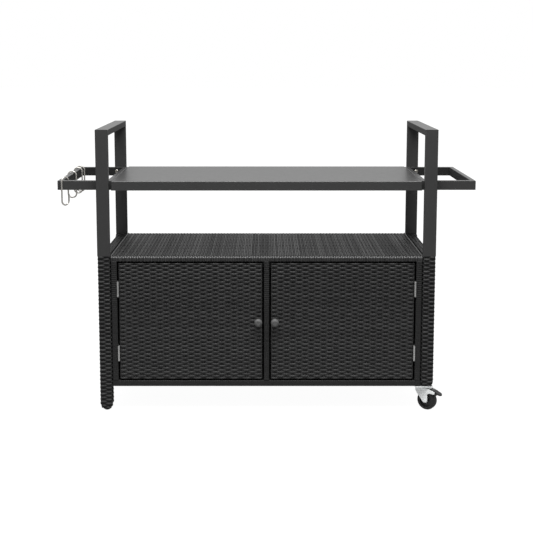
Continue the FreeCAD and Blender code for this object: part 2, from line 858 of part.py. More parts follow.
def serving_shelf():
    """Sheet folded down on four sides, with a lip turned in under each side."""
    body = new_body("shelf_pan")
    pad(body, "shelf_block", draw(body, "shelf_plan", "XY_Plane", [shelf_outline("0")]), "rail_height")
    soften(body, "shelf_corners", "shelf_corner", lambda edge: runs_along(edge, 2))
    soften(body, "shelf_bends", "shelf_bend", lambda edge: lies_at(edge, 2, number("rail_height")))
    pocket(body, "shelf_hollow", draw(body, "shelf_inner", "XY_Plane", [shelf_outline("shelf_sheet")]),
           "rail_height - shelf_sheet", backwards=True)
    lip = draw(body, "shelf_lip_plan", "XY_Plane",
               [shelf_outline("shelf_sheet / 2"), shelf_outline("(shelf_sheet + shelf_lip)")])
    pad(body, "shelf_lips", lip, "shelf_sheet")
    place(body, "0", "0", "rail_low")
    holes = shelf_bolt_holes("shelf_right", "shelf_half - 2 * shelf_sheet", "3 * shelf_sheet")
    holes += shelf_bolt_holes("shelf_left", "-shelf_half - shelf_sheet", "3 * shelf_sheet")
    node("serving_shelf", cut("shelf_drilled", body, holes))


def shelf_stiffener():
    """Hat channel under the middle of the shelf."""
    half = "stiffener_width / 2"
    foot = "(stiffener_width / 2 + stiffener_flange)"
    top = "shelf_under"
    flange = "shelf_under - shelf_sheet"
    bottom = "shelf_under - stiffener_height"
    inner = "(stiffener_width / 2 - shelf_sheet)"
    floor = f"{bottom} + shelf_sheet"
    corners = [
        (f"-{foot}", top), (f"-{foot}", flange), (f"-{half}", flange), (f"-{half}", bottom),
        (half, bottom), (half, flange), (foot, flange), (foot, top),
        (inner, top), (inner, floor), (f"-{inner}", floor), (f"-{inner}", top),
    ]
    body = new_body("stiffener_channel")
    drawing = draw(body, "stiffener_section", "YZ_Plane", [corners])
    pad(body, "stiffener_length", drawing, "2 * (shelf_half - shelf_sheet - bolt_bite)", both_ways=True)
    node("shelf_stiffener", place(body, "0", "middle"))


def handle_rails():
    """Closed loops of tube that reach out past the posts at each end."""
    body = new_body("rail_loop")
    outer = rectangle(("shelf_half", "rail_outer"), ("rail_front", "rail_back"))
    inner = rectangle(("shelf_half + rail_width", "rail_outer - rail_width"),
                      ("rail_front + rail_width", "arm_inner"))
    pad(body, "rail_pad", draw(body, "rail_plan", "XY_Plane", [outer, inner]), "rail_height")
    soften(body, "rail_edges", "rail_edge", lambda edge: not runs_along(edge, 2))
    place(body, "0", "0", "rail_low")
    bore_z = ("rail_low + rail_wall", "rail_top - rail_wall")
    bore_outer = block("rail_bore_outer", ("shelf_half + rail_wall", "rail_outer - rail_wall"),
                       ("rail_front + rail_wall", "rail_back - rail_wall"), bore_z)
    bore_inner = block("rail_bore_inner",
                       ("shelf_half + rail_width - rail_wall", "rail_outer - rail_width + rail_wall"),
                       ("rail_front + rail_width - rail_wall", "arm_inner + rail_wall"), bore_z)
    tube = cut("rail_tube", body, [cut("rail_bore", bore_outer, [bore_inner])])
    through = "rail_width + 2 * socket_slack"
    holes = [
        rod("rail_hole_" + end, "bolt_radius + bolt_gap", through, "rail_bolt_x", f"{y} - socket_slack",
            "rail_mid", "+y")
        for end, y in (("front", "rail_front"), ("back", "arm_inner"))
    ]
    holes += shelf_bolt_holes("rail", "shelf_half - socket_slack", through)
    right = node("right_rail", cut("right_loop", tube, holes))
    node("left_rail", mirror("left_loop", right, MIRROR_X))


def four_ways(label, bolt):
    """Repeat a bolt front to back and left to right."""
    pair = group(label + "_pair", [bolt, mirror(label + "_other", bolt, MIRROR_Y, "middle")])
    node(label, group(label + "_all", [pair, mirror(label + "_left", pair, MIRROR_X)]))


def frame_bolts():
    rail_bolt = domed_bolt("rail_bolt", "bolt_head", "bolt_head_height", "bolt_dome", "bolt_radius",
                           "rail_width + tube_wall + bolt_bite")
    four_ways("rail_bolts", place(rail_bolt, "rail_bolt_x", "arm_inner", "rail_mid", "-y"))
    shelf_bolt = domed_bolt("shelf_bolt", "bolt_head", "bolt_head_height", "bolt_dome", "bolt_radius",
                            "rail_width + shelf_sheet + bolt_bite")
    four_ways("shelf_bolts", place(shelf_bolt, "shelf_half + rail_width", "middle + shelf_bolt_spacing / 2",
                                   "rail_mid", "+x"))


# Swivel casters with brakes

def race(name):
    """Ring that grooves both sides of the ball race."""
    ring = doc.addObject("Part::Torus", name)
    bind(ring, "Radius1", "race_radius")
    bind(ring, "Radius2", "groove_radius")
    return place(ring, "0", "0", "ball_level")


def caster_plate(end):
    name = end + "_caster_plate"
    body = new_body(name + "_sheet")
    edge = span("0", "plate_size")
    plan = draw(body, name + "_plan", "XY_Plane", [rectangle(edge, edge)])
    pad(body, name + "_pad", plan, "plate_thickness")
    soften(body, name + "_corners", "plate_corner", lambda side: runs_along(side, 2))
    place(body, "0", "0", "plate_under")
    boss = rod(name + "_boss", "boss_radius", "boss_height", "0", "0", "boss_under")
    tools = [
        race(name + "_race"),
        rod(name + "_bore", "kingpin_radius + running_gap", "boss_height + plate_thickness", "0", "0",
            "boss_under"),
    ]
    halves = span("0", "plate_bolt_spacing")
    for count, (x, y) in enumerate([(x, y) for x in halves for y in halves], 1):
        tools.append(rod(f"{name}_hole_{count}", "plate_bolt_radius + bolt_gap", "plate_thickness", x, y,
                         "plate_under"))
    plate = cut(name, join(name + "_whole", [body, boss]), tools)
    node(name, place(plate, "caster_x", CASTER_Y[end]))


def caster_plate_bolts():
    bolts = []
    for end in ("front", "back"):
        for count, (x, y) in enumerate(caster_bolt_spots(end), 1):
            bolt = domed_bolt(f"{end}_plate_bolt_{count}", "plate_bolt_head", "plate_bolt_head_height",
                              "plate_bolt_dome", "plate_bolt_radius",
                              "plate_thickness + plate_bolt_bite")
            bolts.append(place(bolt, x, y, "plate_under", "-z"))
    node("caster_plate_bolts", group("plate_bolts", bolts))


def caster_kingpins():
    pins = []
    head_top = "crown_under - swivel_gap"
    for end in ("front", "back"):
        pin = turn(end + "_kingpin", [
            ("0", "carcass_bottom"), ("kingpin_radius", "carcass_bottom"), ("kingpin_radius", head_top),
            ("kingpin_head", head_top), ("kingpin_head", f"{head_top} - kingpin_head_height"),
            ("0", f"{head_top} - kingpin_head_height"),
        ])
        pins.append(place(pin, "caster_x", CASTER_Y[end]))
    node("caster_kingpins", group("kingpins", pins))


def fork(end):
    """Pressed fork: a crown over the ball race, two tapered legs and ears for the brake."""
    name = end + "_fork"
    body = new_body(name + "_blank")
    side = [
        ("-crown_radius", "crown_top"), ("crown_radius", "crown_top"),
        ("brake_x + ear_reach", "brake_z + ear_rise"), ("brake_x + ear_reach", "brake_z - ear_drop"),
        ("trail + fork_tip", "brake_z - ear_drop + arch_rise"),
        ("trail + fork_tip", "wheel_radius - fork_tip"),
        ("trail - fork_tip", "wheel_radius - fork_tip"), ("-crown_radius", "crown_under - fork_shoulder"),
    ]
    pad(body, name + "_pad", draw(body, name + "_side", "XZ_Plane", [side]), "fork_width", both_ways=True)
    rounds = (
        ("tips", "fork_tip - 2 * running_gap", "wheel_radius - fork_tip"),
        ("shoulder", "shoulder_round", "crown_under - fork_shoulder"),
        ("arch", "fork_arch", "brake_z - ear_drop + arch_rise"),
        ("ears", "ear_round", "brake_z - ear_drop"),
    )
    for part, radius, level in rounds:
        soften(body, f"{name}_{part}", radius, lambda edge, height=number(level):
               runs_along(edge, 1) and abs(edge.CenterOfMass.z - height) < 0.01)
    window = rectangle(("-2 * crown_radius", "brake_x + 2 * ear_reach"), ("0", "crown_under"))
    gap = draw(body, name + "_window", "XZ_Plane", [window])
    pocket(body, name + "_gap", gap, "fork_gap", both_ways=True)
    crown = rod(name + "_crown", "crown_radius", "crown_thickness", "0", "0", "crown_under")
    tools = [
        rod(name + "_bore", "kingpin_radius + running_gap", "crown_thickness", "0", "0", "crown_under"),
        race(name + "_race"),
        rod(name + "_axle_hole", "axle_radius + running_gap", "fork_width", "trail", "-fork_width / 2",
            "wheel_radius", "+y"),
        rod(name + "_brake_hole", "brake_pin + running_gap", "fork_width", "brake_x", "-fork_width / 2",
            "brake_z", "+y"),
    ]
    whole = cut(name, join(name + "_joined", [body, crown]), tools)
    node(end + "_caster_fork", place_on_caster(whole, CASTER_Y[end]))


def headed_pin(name, radius, head, head_height):
    """Pin across the fork with a head at each end."""
    half = "fork_width / 2"
    end = f"(fork_width / 2 + {head_height})"
    return turn(name, [
        ("0", f"-{end}"), (head, f"-{end}"), (head, f"-{half}"), (radius, f"-{half}"),
        (radius, half), (head, half), (head, end), ("0", end),
    ], axis="Y")


def caster_pins(end):
    axle = headed_pin(end + "_axle", "axle_radius", "axle_head", "axle_head_height")
    pivot = headed_pin(end + "_brake_pivot", "brake_pin", "brake_pin_head", "brake_pin_head_height")
    place_on_caster(axle, CASTER_Y[end], "trail", "wheel_radius")
    place_on_caster(pivot, CASTER_Y[end], "brake_x", "brake_z")
    node(end + "_caster_pins", group(end + "_pins", [axle, pivot]))


BALL_COUNT = 8


def caster_balls(end):
    balls = []
    for count in range(BALL_COUNT):
        angle = count * 360 / BALL_COUNT
        ball = doc.addObject("Part::Sphere", f"{end}_ball_{count + 1}")
        bind(ball, "Radius", "ball_radius")
        balls.append(place(ball, f"race_radius * cos({angle})", f"race_radius * sin({angle})", "ball_level"))
    node(end + "_caster_balls", place_on_caster(group(end + "_balls", balls), CASTER_Y[end]))


def wheel(end):
    half = "tyre_width / 2"
    rim = "hub_radius - hub_rim"
    bore = "axle_radius + running_gap"
    inner = "hub_radius + tyre_gap"
    tyre = turn(end + "_tyre", rectangle((inner, "wheel_radius"), (f"-{half}", half)), axis="Y")
    outermost = number("wheel_radius")
    soften(tyre, end + "_tyre_shoulders", "tyre_round",
           lambda edge: is_round(edge) and abs(edge.Curve.Radius - outermost) < 0.01)
    hub = turn(end + "_hub", [
        (bore, "-hub_width / 2"), ("hub_boss", "-hub_width / 2"), ("hub_boss", "-hub_web / 2"),
        (rim, "-hub_web / 2"), (rim, f"-{half}"), ("hub_radius", f"-{half}"),
        ("hub_radius", half), (rim, half), (rim, "hub_web / 2"),
        ("hub_boss", "hub_web / 2"), ("hub_boss", "hub_width / 2"), (bore, "hub_width / 2"),
    ], axis="Y")
    node(end + "_tyre", place_on_caster(tyre, CASTER_Y[end], "trail", "wheel_radius"))
    node(end + "_hub", place_on_caster(hub, CASTER_Y[end], "trail", "wheel_radius"))


def brake_pedal(end):
    """Foot lever with a shoe that comes down on the tyre."""
    name = end + "_brake_pedal"
    body = new_body(name + "_lever")
    side = [
        ("-pedal_back", "-pedal_heel"), ("-pedal_back", "pedal_heel_rise"),
        ("pedal_back", "pedal_rise"),
        ("pedal_reach", "pedal_thickness - pedal_drop"), ("pedal_reach", "-pedal_drop"),
        ("shoe_out + shoe_root", "-pedal_thickness"), ("shoe_out + shoe_width", "-shoe_drop"),
        ("shoe_out", "-shoe_drop"),
    ]
    pad(body, name + "_pad", draw(body, name + "_side", "XZ_Plane", [side]), "pedal_width", both_ways=True)
    end_face = number("pedal_reach")
    soften(body, name + "_tip", "pedal_tip",
           lambda edge: runs_along(edge, 2) and abs(edge.CenterOfMass.x - end_face) < 0.01)
    bore = rod(name + "_bore", "brake_pin + running_gap", "pedal_width", "0", "-pedal_width / 2", "0", "+y")
    node(name, place_on_caster(cut(name, body, [bore]), CASTER_Y[end], "brake_x", "brake_z"))


def casters():
    caster_plate_bolts()
    caster_kingpins()
    for end in ("front", "back"):
        caster_plate(end)
        fork(end)
        caster_pins(end)
        caster_balls(end)
        wheel(end)
        brake_pedal(end)


# Wire hooks on the left rail

def hook_path(body, name):
    """Tip, bend over the rail, stem, bend under and second tip, as one line."""
    path = body.newObject("Sketcher::SketchObject", name)
    path.AttachmentSupport = [(origin(body, "XZ_Plane"), "")]
    path.MapMode = "FlatFace"
    bend = number("hook_bend")
    stem = number("hook_stem")
    tip = number("hook_tip")
    up = FreeCAD.Vector(0, 0, 1)
    spots = [(bend, -tip), (bend, 0), (-bend, 0), (-bend, -stem), (bend, -stem), (bend, tip - stem)]
    corners = [FreeCAD.Vector(across, along, 0) for across, along in spots]
    top = Part.Circle(FreeCAD.Vector(), up, bend)
    bottom = Part.Circle(FreeCAD.Vector(0, -stem, 0), up, bend)
    half_turn = FreeCAD.Units.Quantity("180 deg").getValueAs("rad").Value
    path.addGeometry(Part.LineSegment(corners[0], corners[1]))
    path.addGeometry(Part.ArcOfCircle(top, 0, half_turn))
    path.addGeometry(Part.LineSegment(corners[2], corners[3]))
    path.addGeometry(Part.ArcOfCircle(bottom, half_turn, 2 * half_turn))
    path.addGeometry(Part.LineSegment(corners[4], corners[5]))
    for first, second in (((0, 2), (1, 1)), ((1, 2), (2, 1)), ((2, 2), (3, 1)), ((3, 2), (4, 1))):
        path.addConstraint(Sketcher.Constraint("Coincident", *first, *second))
    path.addConstraint(Sketcher.Constraint("Coincident", 1, 3, -1, 1))
    starts = ((0, "hook_bend", "-hook_tip"), (2, "-hook_bend", "0"), (4, "hook_bend", "-hook_stem"))
    for edge, across, along in starts:
        tie(path, "DistanceX", -2, edge, across)
        tie(path, "DistanceY", -1, edge, along)
    return path


def hook(name):
    body = new_body(name + "_wire")
    path = hook_path(body, name + "_path")
    ring = body.newObject("Sketcher::SketchObject", name + "_section")
    ring.AttachmentSupport = [(origin(body, "XY_Plane"), "")]
    ring.MapMode = "FlatFace"
    bind(ring, "AttachmentOffset.Base.z", "-hook_tip")
    centre = FreeCAD.Vector(number("hook_bend"), 0, 0)
    ring.addGeometry(Part.Circle(centre, FreeCAD.Vector(0, 0, 1), number("wire_radius")))
    ring.addConstraint(Sketcher.Constraint("PointOnObject", 0, 3, -1))
    across = ring.addConstraint(Sketcher.Constraint("DistanceX", -1, 1, 0, 3, number("hook_bend")))
    ring.setExpression(f"Constraints[{across}]", formula("hook_bend"))
    thick = ring.addConstraint(Sketcher.Constraint("Radius", 0, number("wire_radius")))
    ring.setExpression(f"Constraints[{thick}]", formula("wire_radius"))
    pipe = body.newObject("PartDesign::AdditivePipe", name + "_pipe")
    pipe.Profile = ring
    pipe.Spine = path
    return body


def hang(body, x, y, z, turned):
    body.Placement = FreeCAD.Placement(FreeCAD.Vector(), FreeCAD.Rotation(FreeCAD.Vector(0, 0, 1), 1))
    bind(body, "Placement.Rotation.Angle", turned)
    for letter, text in zip("xyz", (x, y, z)):
        bind(body, "Placement.Base." + letter, text)
    return body


def hooks():
    """One hook near the corner of the front arm, three along the outer bar."""
    drop = "rail_top - sqrt(hook_inner ^ 2 - ({}) ^ 2)"
    askew = drop.format("rail_width / 2 / cos(corner_hook_turn)") + " + corner_hook_lift"
    corner_hook = hang(hook("corner_hook"), "corner_hook_inset - rail_outer", "rail_front + rail_width / 2",
                       askew, "90 - corner_hook_turn")
    node("hook_1", corner_hook)
    square = drop.format("rail_width / 2")
    for count, spot in enumerate(("near_hook", "middle_hook", "far_hook"), 2):
        node(f"hook_{count}", hang(hook(spot), "-hook_centre", f"arm_inner - {spot}_inset", square, "180"))


def check():
    doc.recompute()
    for item in doc.Objects:
        wrong = [state for state in item.State if state in ("Invalid", "Error")]
        if wrong:
            raise RuntimeError(f"{item.Label} is {wrong}")
    for item in nodes:
        if item.Shape.isNull() or not item.Shape.isValid() or not item.Shape.Solids:
            raise RuntimeError(f"{item.Label} has no valid solid")


def main():
    fill_sheets()
    side_frames()
    post_sleeves()
    legs()
    leg_glides()
    side_panels()
    back_panel()
    cabinet_top()
    cabinet_floor()
    face_frame()
    doors()
    door_catch()
    serving_shelf()
    shelf_stiffener()
    handle_rails()
    frame_bolts()
    casters()
    hooks()
    check()
    os.makedirs("parts", exist_ok=True)
    for item in nodes:
        item.Shape.exportStep(f"parts/{item.Label}.step")


main()
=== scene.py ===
import json
from math import pi, radians

import bmesh
import bpy
from mathutils import Matrix, Vector


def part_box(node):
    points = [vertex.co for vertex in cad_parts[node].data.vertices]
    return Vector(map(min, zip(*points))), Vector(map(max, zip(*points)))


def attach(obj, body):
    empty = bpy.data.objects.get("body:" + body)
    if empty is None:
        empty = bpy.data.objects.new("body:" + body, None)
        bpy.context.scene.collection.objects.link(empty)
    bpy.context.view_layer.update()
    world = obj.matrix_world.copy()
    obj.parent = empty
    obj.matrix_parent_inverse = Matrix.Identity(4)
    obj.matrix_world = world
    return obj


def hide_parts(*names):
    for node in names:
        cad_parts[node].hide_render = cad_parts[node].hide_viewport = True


# Looks of the outdoor bar cart: resin strands woven over the cabinet, doors and legs, satin
# black paint on the steel, bright zinc on casters and hinges, wire hooks and moulded plastics.

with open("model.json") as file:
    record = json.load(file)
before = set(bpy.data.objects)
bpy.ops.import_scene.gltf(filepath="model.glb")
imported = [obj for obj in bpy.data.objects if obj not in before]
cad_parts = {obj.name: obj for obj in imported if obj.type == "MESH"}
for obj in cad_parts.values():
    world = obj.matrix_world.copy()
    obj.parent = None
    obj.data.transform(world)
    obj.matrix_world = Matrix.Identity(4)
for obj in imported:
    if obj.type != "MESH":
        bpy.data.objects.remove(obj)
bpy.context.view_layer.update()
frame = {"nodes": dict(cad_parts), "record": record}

MM = 0.001


# Node trees written as expressions

class Wire:
    """Output of a node. Arithmetic on it adds Math nodes to the same tree."""

    def __init__(self, board, socket):
        self.board = board
        self.socket = socket

    def to(self, operation, other=0.0):
        return self.board.maths(operation, self, other)

    def __add__(self, other):
        return self.board.maths("ADD", self, other)

    def __radd__(self, other):
        return self.board.maths("ADD", other, self)

    def __sub__(self, other):
        return self.board.maths("SUBTRACT", self, other)

    def __rsub__(self, other):
        return self.board.maths("SUBTRACT", other, self)

    def __mul__(self, other):
        return self.board.maths("MULTIPLY", self, other)

    def __rmul__(self, other):
        return self.board.maths("MULTIPLY", other, self)

    def __truediv__(self, other):
        return self.board.maths("DIVIDE", self, other)

    def __mod__(self, other):
        return self.board.maths("FLOORED_MODULO", self, other)


class Board:
    """Node tree that nodes are added to, each with its settings and its sockets."""

    def __init__(self, tree):
        self.tree = tree
        tree.nodes.clear()

    @staticmethod
    def pick(sockets, name):
        if isinstance(name, int):
            return sockets[name]
        return next(socket for socket in sockets if socket.enabled and socket.name == name)

    def add(self, kind, settings, sockets, out=0):
        made = self.tree.nodes.new(kind)
        for name, value in settings.items():
            setattr(made, name, value)
        for name, value in sockets.items():
            socket = self.pick(made.inputs, name)
            for part in value if isinstance(value, list) else [value]:
                if isinstance(part, Wire):
                    self.tree.links.new(part.socket, socket)
                else:
                    socket.default_value = part
        if not made.outputs:
            return None
        return Wire(self, self.pick(made.outputs, out))

    def maths(self, operation, first, second):
        return self.add("ShaderNodeMath", {"operation": operation}, {0: first, 1: second})

    def vector(self, x=0.0, y=0.0, z=0.0):
        return self.add("ShaderNodeCombineXYZ", {}, {"X": x, "Y": y, "Z": z})

    def part_of(self, vector, letter):
        return self.add("ShaderNodeSeparateXYZ", {}, {0: vector}, letter)

    def scaled(self, vector, factor):
        return self.add("ShaderNodeVectorMath", {"operation": "SCALE"}, {0: vector, "Scale": factor})


# Parts of materials

def new_material(name, paint):
    material = bpy.data.materials.new(name)
    material.use_nodes = True
    board = Board(material.node_tree)
    board.add("ShaderNodeOutputMaterial", {}, {"Surface": paint(board)})
    return material


def object_place(board):
    return board.add("ShaderNodeTexCoord", {}, {}, "Object")


def noise(board, scale, detail=2.0, place=None):
    where = place or object_place(board)
    return board.add("ShaderNodeTexNoise", {}, {"Vector": where, "Scale": scale, "Detail": detail}, "Fac")


def bumped(board, height, strength, distance):
    return board.add("ShaderNodeBump", {}, {"Height": height, "Strength": strength, "Distance": distance},
                     "Normal")


def between(board, share, first, second):
    """Colour that goes from the first to the second as the share goes from 0 to 1."""
    return board.add("ShaderNodeMix", {"data_type": "RGBA"}, {"Factor": share, "A": first, "B": second},
                     "Result")


def ramp(low, high, share):
    """Value that goes from low to high as the share goes from 0 to 1."""
    return low + (high - low) * share


def grey(value):
    return (value, value, value, 1.0)


def strand_value(board, name):
    """Value that the geometry trees store on each strand under this name."""
    return board.add("ShaderNodeAttribute", {"attribute_name": name}, {}, "Fac")


def principled(board, **sockets):
    named = {}
    for name, value in sockets.items():
        named[name.replace("_", " ").title().replace("Ior", "IOR")] = value
    return board.add("ShaderNodeBsdfPrincipled", {}, named)


# Materials, with the scales of their noise in cells per metre

FINE_DETAIL = 3.0
BUMP_DEPTH = 0.2 * MM
COAT_RIPPLE = 900.0
RIPPLE_DETAIL = 1.0
COAT_CLOUD = 14.0
COAT_SHEEN = 60.0
COAT_BUMP = 0.12
# Painted shade inside the rail loops: its near-black grey and its roughness
PAINTED_SHADE_GREY = 0.006
INSIDE_LOOP_ROUGHNESS = 0.9
RAIL_WIDTH = 15.0 * MM
LOOP_SLACK = 0.3 * MM
STRAND_GROOVES = (40.0, 26.0, 90.0)
STRAND_BLOTCHES = (22.0, 55.0)
STRAND_ROUGHNESS = 0.47
CREST_POLISH = 0.16
BLOTCH_ROUGHNESS = 0.10
STRAND_BUMP = 0.35
STRAND_BUMP_DEPTH = 0.3 * MM
CORE_CLOUD = 120.0
CORE_TONES = (0.005, 0.009)
CORE_GLOSS = 0.22
CORE_ROUGHNESS = (0.6, 0.8)
METAL_STREAK = (300.0, 300.0, 2600.0)
METAL_CLOUD = 90.0
METAL_BUMP = 0.08
DULL_SHARE = 0.82
PLASTIC_GRAIN = 700.0
PLASTIC_CLOUD = 45.0
PLASTIC_BUMP = 0.2


def loop_shade_mask(board):
    """Painted shade mask: 1 on the faces inside a rail loop, which are painted near-black and dull to
    stand in for shade, and 0 elsewhere.
    """
    low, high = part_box("right_rail")
    place = object_place(board)
    across = board.part_of(place, "X").to("ABSOLUTE")
    along = board.part_of(place, "Y")
    edge = RAIL_WIDTH - LOOP_SLACK
    within_x = across.to("GREATER_THAN", low.x + edge) * across.to("LESS_THAN", high.x - edge)
    within_y = along.to("GREATER_THAN", low.y + edge) * along.to("LESS_THAN", high.y - edge)
    return within_x * within_y


def painted_steel(dark, light, low, high, painted_shade=None):
    """Powder coat: a fine even ripple under a satin gloss, with painted shade, dark and dull, where the
    given mask marks it.
    """

    def paint(board):
        ripple = noise(board, COAT_RIPPLE, RIPPLE_DETAIL)
        colour = between(board, noise(board, COAT_CLOUD), grey(dark), grey(light))
        roughness = ramp(low, high, noise(board, COAT_SHEEN, FINE_DETAIL))
        if painted_shade:
            share = painted_shade(board)
            # Painted shade: the colour goes to a near-black grey where the mask is 1
            colour = between(board, share, colour, grey(PAINTED_SHADE_GREY))
            roughness = ramp(roughness, INSIDE_LOOP_ROUGHNESS, share)
        return principled(board, base_color=colour, roughness=roughness,
                          normal=bumped(board, ripple, COAT_BUMP, BUMP_DEPTH))

    return paint


def woven_strand(dark, light, hollow_shade, gloss, spread=0.2):
    """Resin strand with fine grooves along it and its own tone, with painted shade that darkens it in its
    hollows, where it is also duller, and a painted highlight where its crest value is raised on a bend.

    The third argument is how far the painted shade darkens the hollows, and spread is how much the strands
    differ in roughness.
    """

    def paint(board):
        tone = strand_value(board, "strand_tone")
        run = strand_value(board, "strand_run")
        side = strand_value(board, "strand_side")
        crest = strand_value(board, "strand_crest")
        by_run, by_side, by_tone = STRAND_GROOVES
        groove = noise(board, 1.0, place=board.vector(run * by_run, side * by_side, tone * by_tone))
        by_run, by_tone = STRAND_BLOTCHES
        blotch = noise(board, 1.0, place=board.vector(run * by_run, tone * by_tone))
        # Painted shade: below 1 in the hollows this darkens the colour; above 1, where the crest value is
        # raised on a bend, it lightens the colour as a painted highlight
        raised = (1.0 - hollow_shade) + hollow_shade * crest
        shade = (0.5 * tone + 0.5 * blotch) * raised
        polish = (STRAND_ROUGHNESS - spread / 2) - CREST_POLISH * raised
        return principled(
            board, base_color=between(board, shade, grey(dark), grey(light)), specular_ior_level=gloss,
            roughness=polish + BLOTCH_ROUGHNESS * blotch + spread * tone,
            normal=bumped(board, groove, STRAND_BUMP, STRAND_BUMP_DEPTH))

    return paint


def core_and_shade_sheet(board):
    """Near-black backing that shows between the strands: the cores and bars under them, and the sheets
    that paint the shade behind the weave.
    """
    cloud = noise(board, CORE_CLOUD)
    dark, light = CORE_TONES
    low, high = CORE_ROUGHNESS
    return principled(board, base_color=between(board, cloud, grey(dark), grey(light)),
                      specular_ior_level=CORE_GLOSS, roughness=ramp(low, high, cloud))


def bright_metal(red, green, blue, low, high, sheen=1.0):
    """Plated metal with fine drawn streaks and faint clouding. A low sheen is a dull, pale plating."""

    def paint(board):
        stretched = board.add("ShaderNodeMapping", {},
                              {"Vector": object_place(board), "Scale": METAL_STREAK})
        lines = noise(board, 1.0, FINE_DETAIL, stretched)
        bright = (red, green, blue, 1.0)
        dull = (DULL_SHARE * red, DULL_SHARE * green, DULL_SHARE * blue, 1.0)
        return principled(board, base_color=between(board, noise(board, METAL_CLOUD), dull, bright),
                          metallic=sheen, roughness=ramp(low, high, lines),
                          normal=bumped(board, lines, METAL_BUMP, BUMP_DEPTH))

    return paint


def moulded_plastic(dark, light, low, high):
    """Moulded plastic with a fine spark-eroded grain."""

    def paint(board):
        grain = noise(board, PLASTIC_GRAIN)
        colour = between(board, noise(board, PLASTIC_CLOUD), grey(dark), grey(light))
        return principled(board, base_color=colour, roughness=ramp(low, high, grain),
                          normal=bumped(board, grain, PLASTIC_BUMP, BUMP_DEPTH))

    return paint


# The slots of the record come first, then the finishes that only some pieces have

FINISHES = {
    "black_steel": painted_steel(0.040, 0.046, 0.30, 0.38),
    "door_tube": painted_steel(0.012, 0.016, 0.34, 0.42),
    "sleeve_steel": bright_metal(0.09, 0.09, 0.10, 0.40, 0.54),
    # The third number of each strand finish is how far painted shade darkens its hollows
    "wicker": woven_strand(0.007, 0.076, 0.8, 0.35),
    "bolt_steel": bright_metal(0.80, 0.77, 0.70, 0.20, 0.34),
    "hinge_steel": bright_metal(0.52, 0.52, 0.51, 0.24, 0.36, 0.5),
    "caster_zinc": bright_metal(0.92, 0.94, 0.94, 0.26, 0.40, 0.2),
    "hook_wire": bright_metal(0.62, 0.60, 0.56, 0.16, 0.28, 0.55),
    "glide_plastic": moulded_plastic(0.002, 0.004, 0.50, 0.64),
    "catch_plastic": moulded_plastic(0.016, 0.022, 0.40, 0.55),
    "knob_grey": moulded_plastic(0.080, 0.095, 0.62, 0.74),
    "tyre_rubber": moulded_plastic(0.003, 0.006, 0.48, 0.62),
    "hub_plastic": moulded_plastic(0.006, 0.010, 0.40, 0.52),
    "pedal_plastic": moulded_plastic(0.004, 0.007, 0.46, 0.58),
    # Near-black for the cores and bars under the strands and for the sheets of painted shade behind the
    # weave
    "core": core_and_shade_sheet,
    "wrapping": woven_strand(0.017, 0.029, 0.2, 0.1),
    "leg_strand": woven_strand(0.004, 0.104, 0.95, 0.20),
    "top_strand": woven_strand(0.003, 0.026, 0.3, 0.10, 0.36),
    # Lighter, glossier strand for the bends: its lighter colour is a painted highlight
    "bend_highlight_strand": woven_strand(0.010, 0.040, 0.1, 0.6),
    # Lighter grey for the seam bead: a painted highlight along the seam
    "bead": moulded_plastic(0.045, 0.060, 0.30, 0.38),
    # Rails with painted shade on the faces inside their loops
    "rail_steel": painted_steel(0.040, 0.046, 0.30, 0.38, loop_shade_mask),
}
OWN_FINISH = {"left_rail": "rail_steel", "right_rail": "rail_steel"}

materials = {name: new_material(name, paint) for name, paint in FINISHES.items()}

for subpart in frame["record"]["subparts"]:
    skin = frame["nodes"][subpart["node"]].data
    skin.materials.clear()
    skin.materials.append(materials[OWN_FINISH.get(subpart["node"], subpart["material_slot"])])


# Geometry trees

QUARTER_TURN = pi / 2
ROW_NUDGE = 0.012
TONE_LOW = 0.25
TONE_HIGH = 0.75
TONE_SEED_STEP = 7.0
DRIFT_SCALE = 38.0
DRIFT_DETAIL = 1.0
NOISE_MIDDLE = (0.5, 0.5, 0.5)
# Crest value past which a strand takes the bend material, a painted highlight
BEND_HIGHLIGHT_CREST = 1.2
STAKE_SIDES = 6
CORNER_STEPS = 6
TOE_RINGS = 2
UP = (0.0, 0.0, 1.0)
STRAND_INPUTS = {
    "Strand Width": "Float", "Strand Thickness": "Float", "Sides": "Int", "Wave": "Float",
    "Unevenness": "Float", "Seed": "Int", "Material": "Material", "Bend Material": "Material",
}


def new_tree(name, inputs):
    """Geometry tree with named inputs. Gives its board and a wire for each input."""
    tree = bpy.data.node_groups.new(name, "GeometryNodeTree")
    for label, kind in inputs.items():
        tree.interface.new_socket(label, in_out="INPUT", socket_type="NodeSocket" + kind)
    tree.interface.new_socket("Geometry", in_out="OUTPUT", socket_type="NodeSocketGeometry")
    board = Board(tree)
    entry = tree.nodes.new("NodeGroupInput")
    return board, {label: Wire(board, entry.outputs[label]) for label in inputs}


def grow(name, board, values, place):
    """Run a tree with these inputs and keep the result as a plain mesh at its place."""
    piece = bpy.data.objects.new(name, bpy.data.meshes.new(name))
    bpy.context.scene.collection.objects.link(piece)
    modifier = piece.modifiers.new(name, "NODES")
    modifier.node_group = board.tree
    for item in board.tree.interface.items_tree:
        if item.in_out == "INPUT":
            modifier[item.identifier] = values[item.name]
    depsgraph = bpy.context.evaluated_depsgraph_get()
    mesh = bpy.data.meshes.new_from_object(piece.evaluated_get(depsgraph), preserve_all_data_layers=True,
                                           depsgraph=depsgraph)
    piece.modifiers.clear()
    mesh.transform(place)
    piece.data = mesh
    return piece


def oval(board, sides, x, y):
    """Oval of this size, to sweep along a line."""
    ring = board.add("GeometryNodeCurvePrimitiveCircle", {}, {"Resolution": sides, "Radius": 0.5})
    return board.add("GeometryNodeTransform", {}, {"Geometry": ring, "Scale": board.vector(x, y, 1.0)})


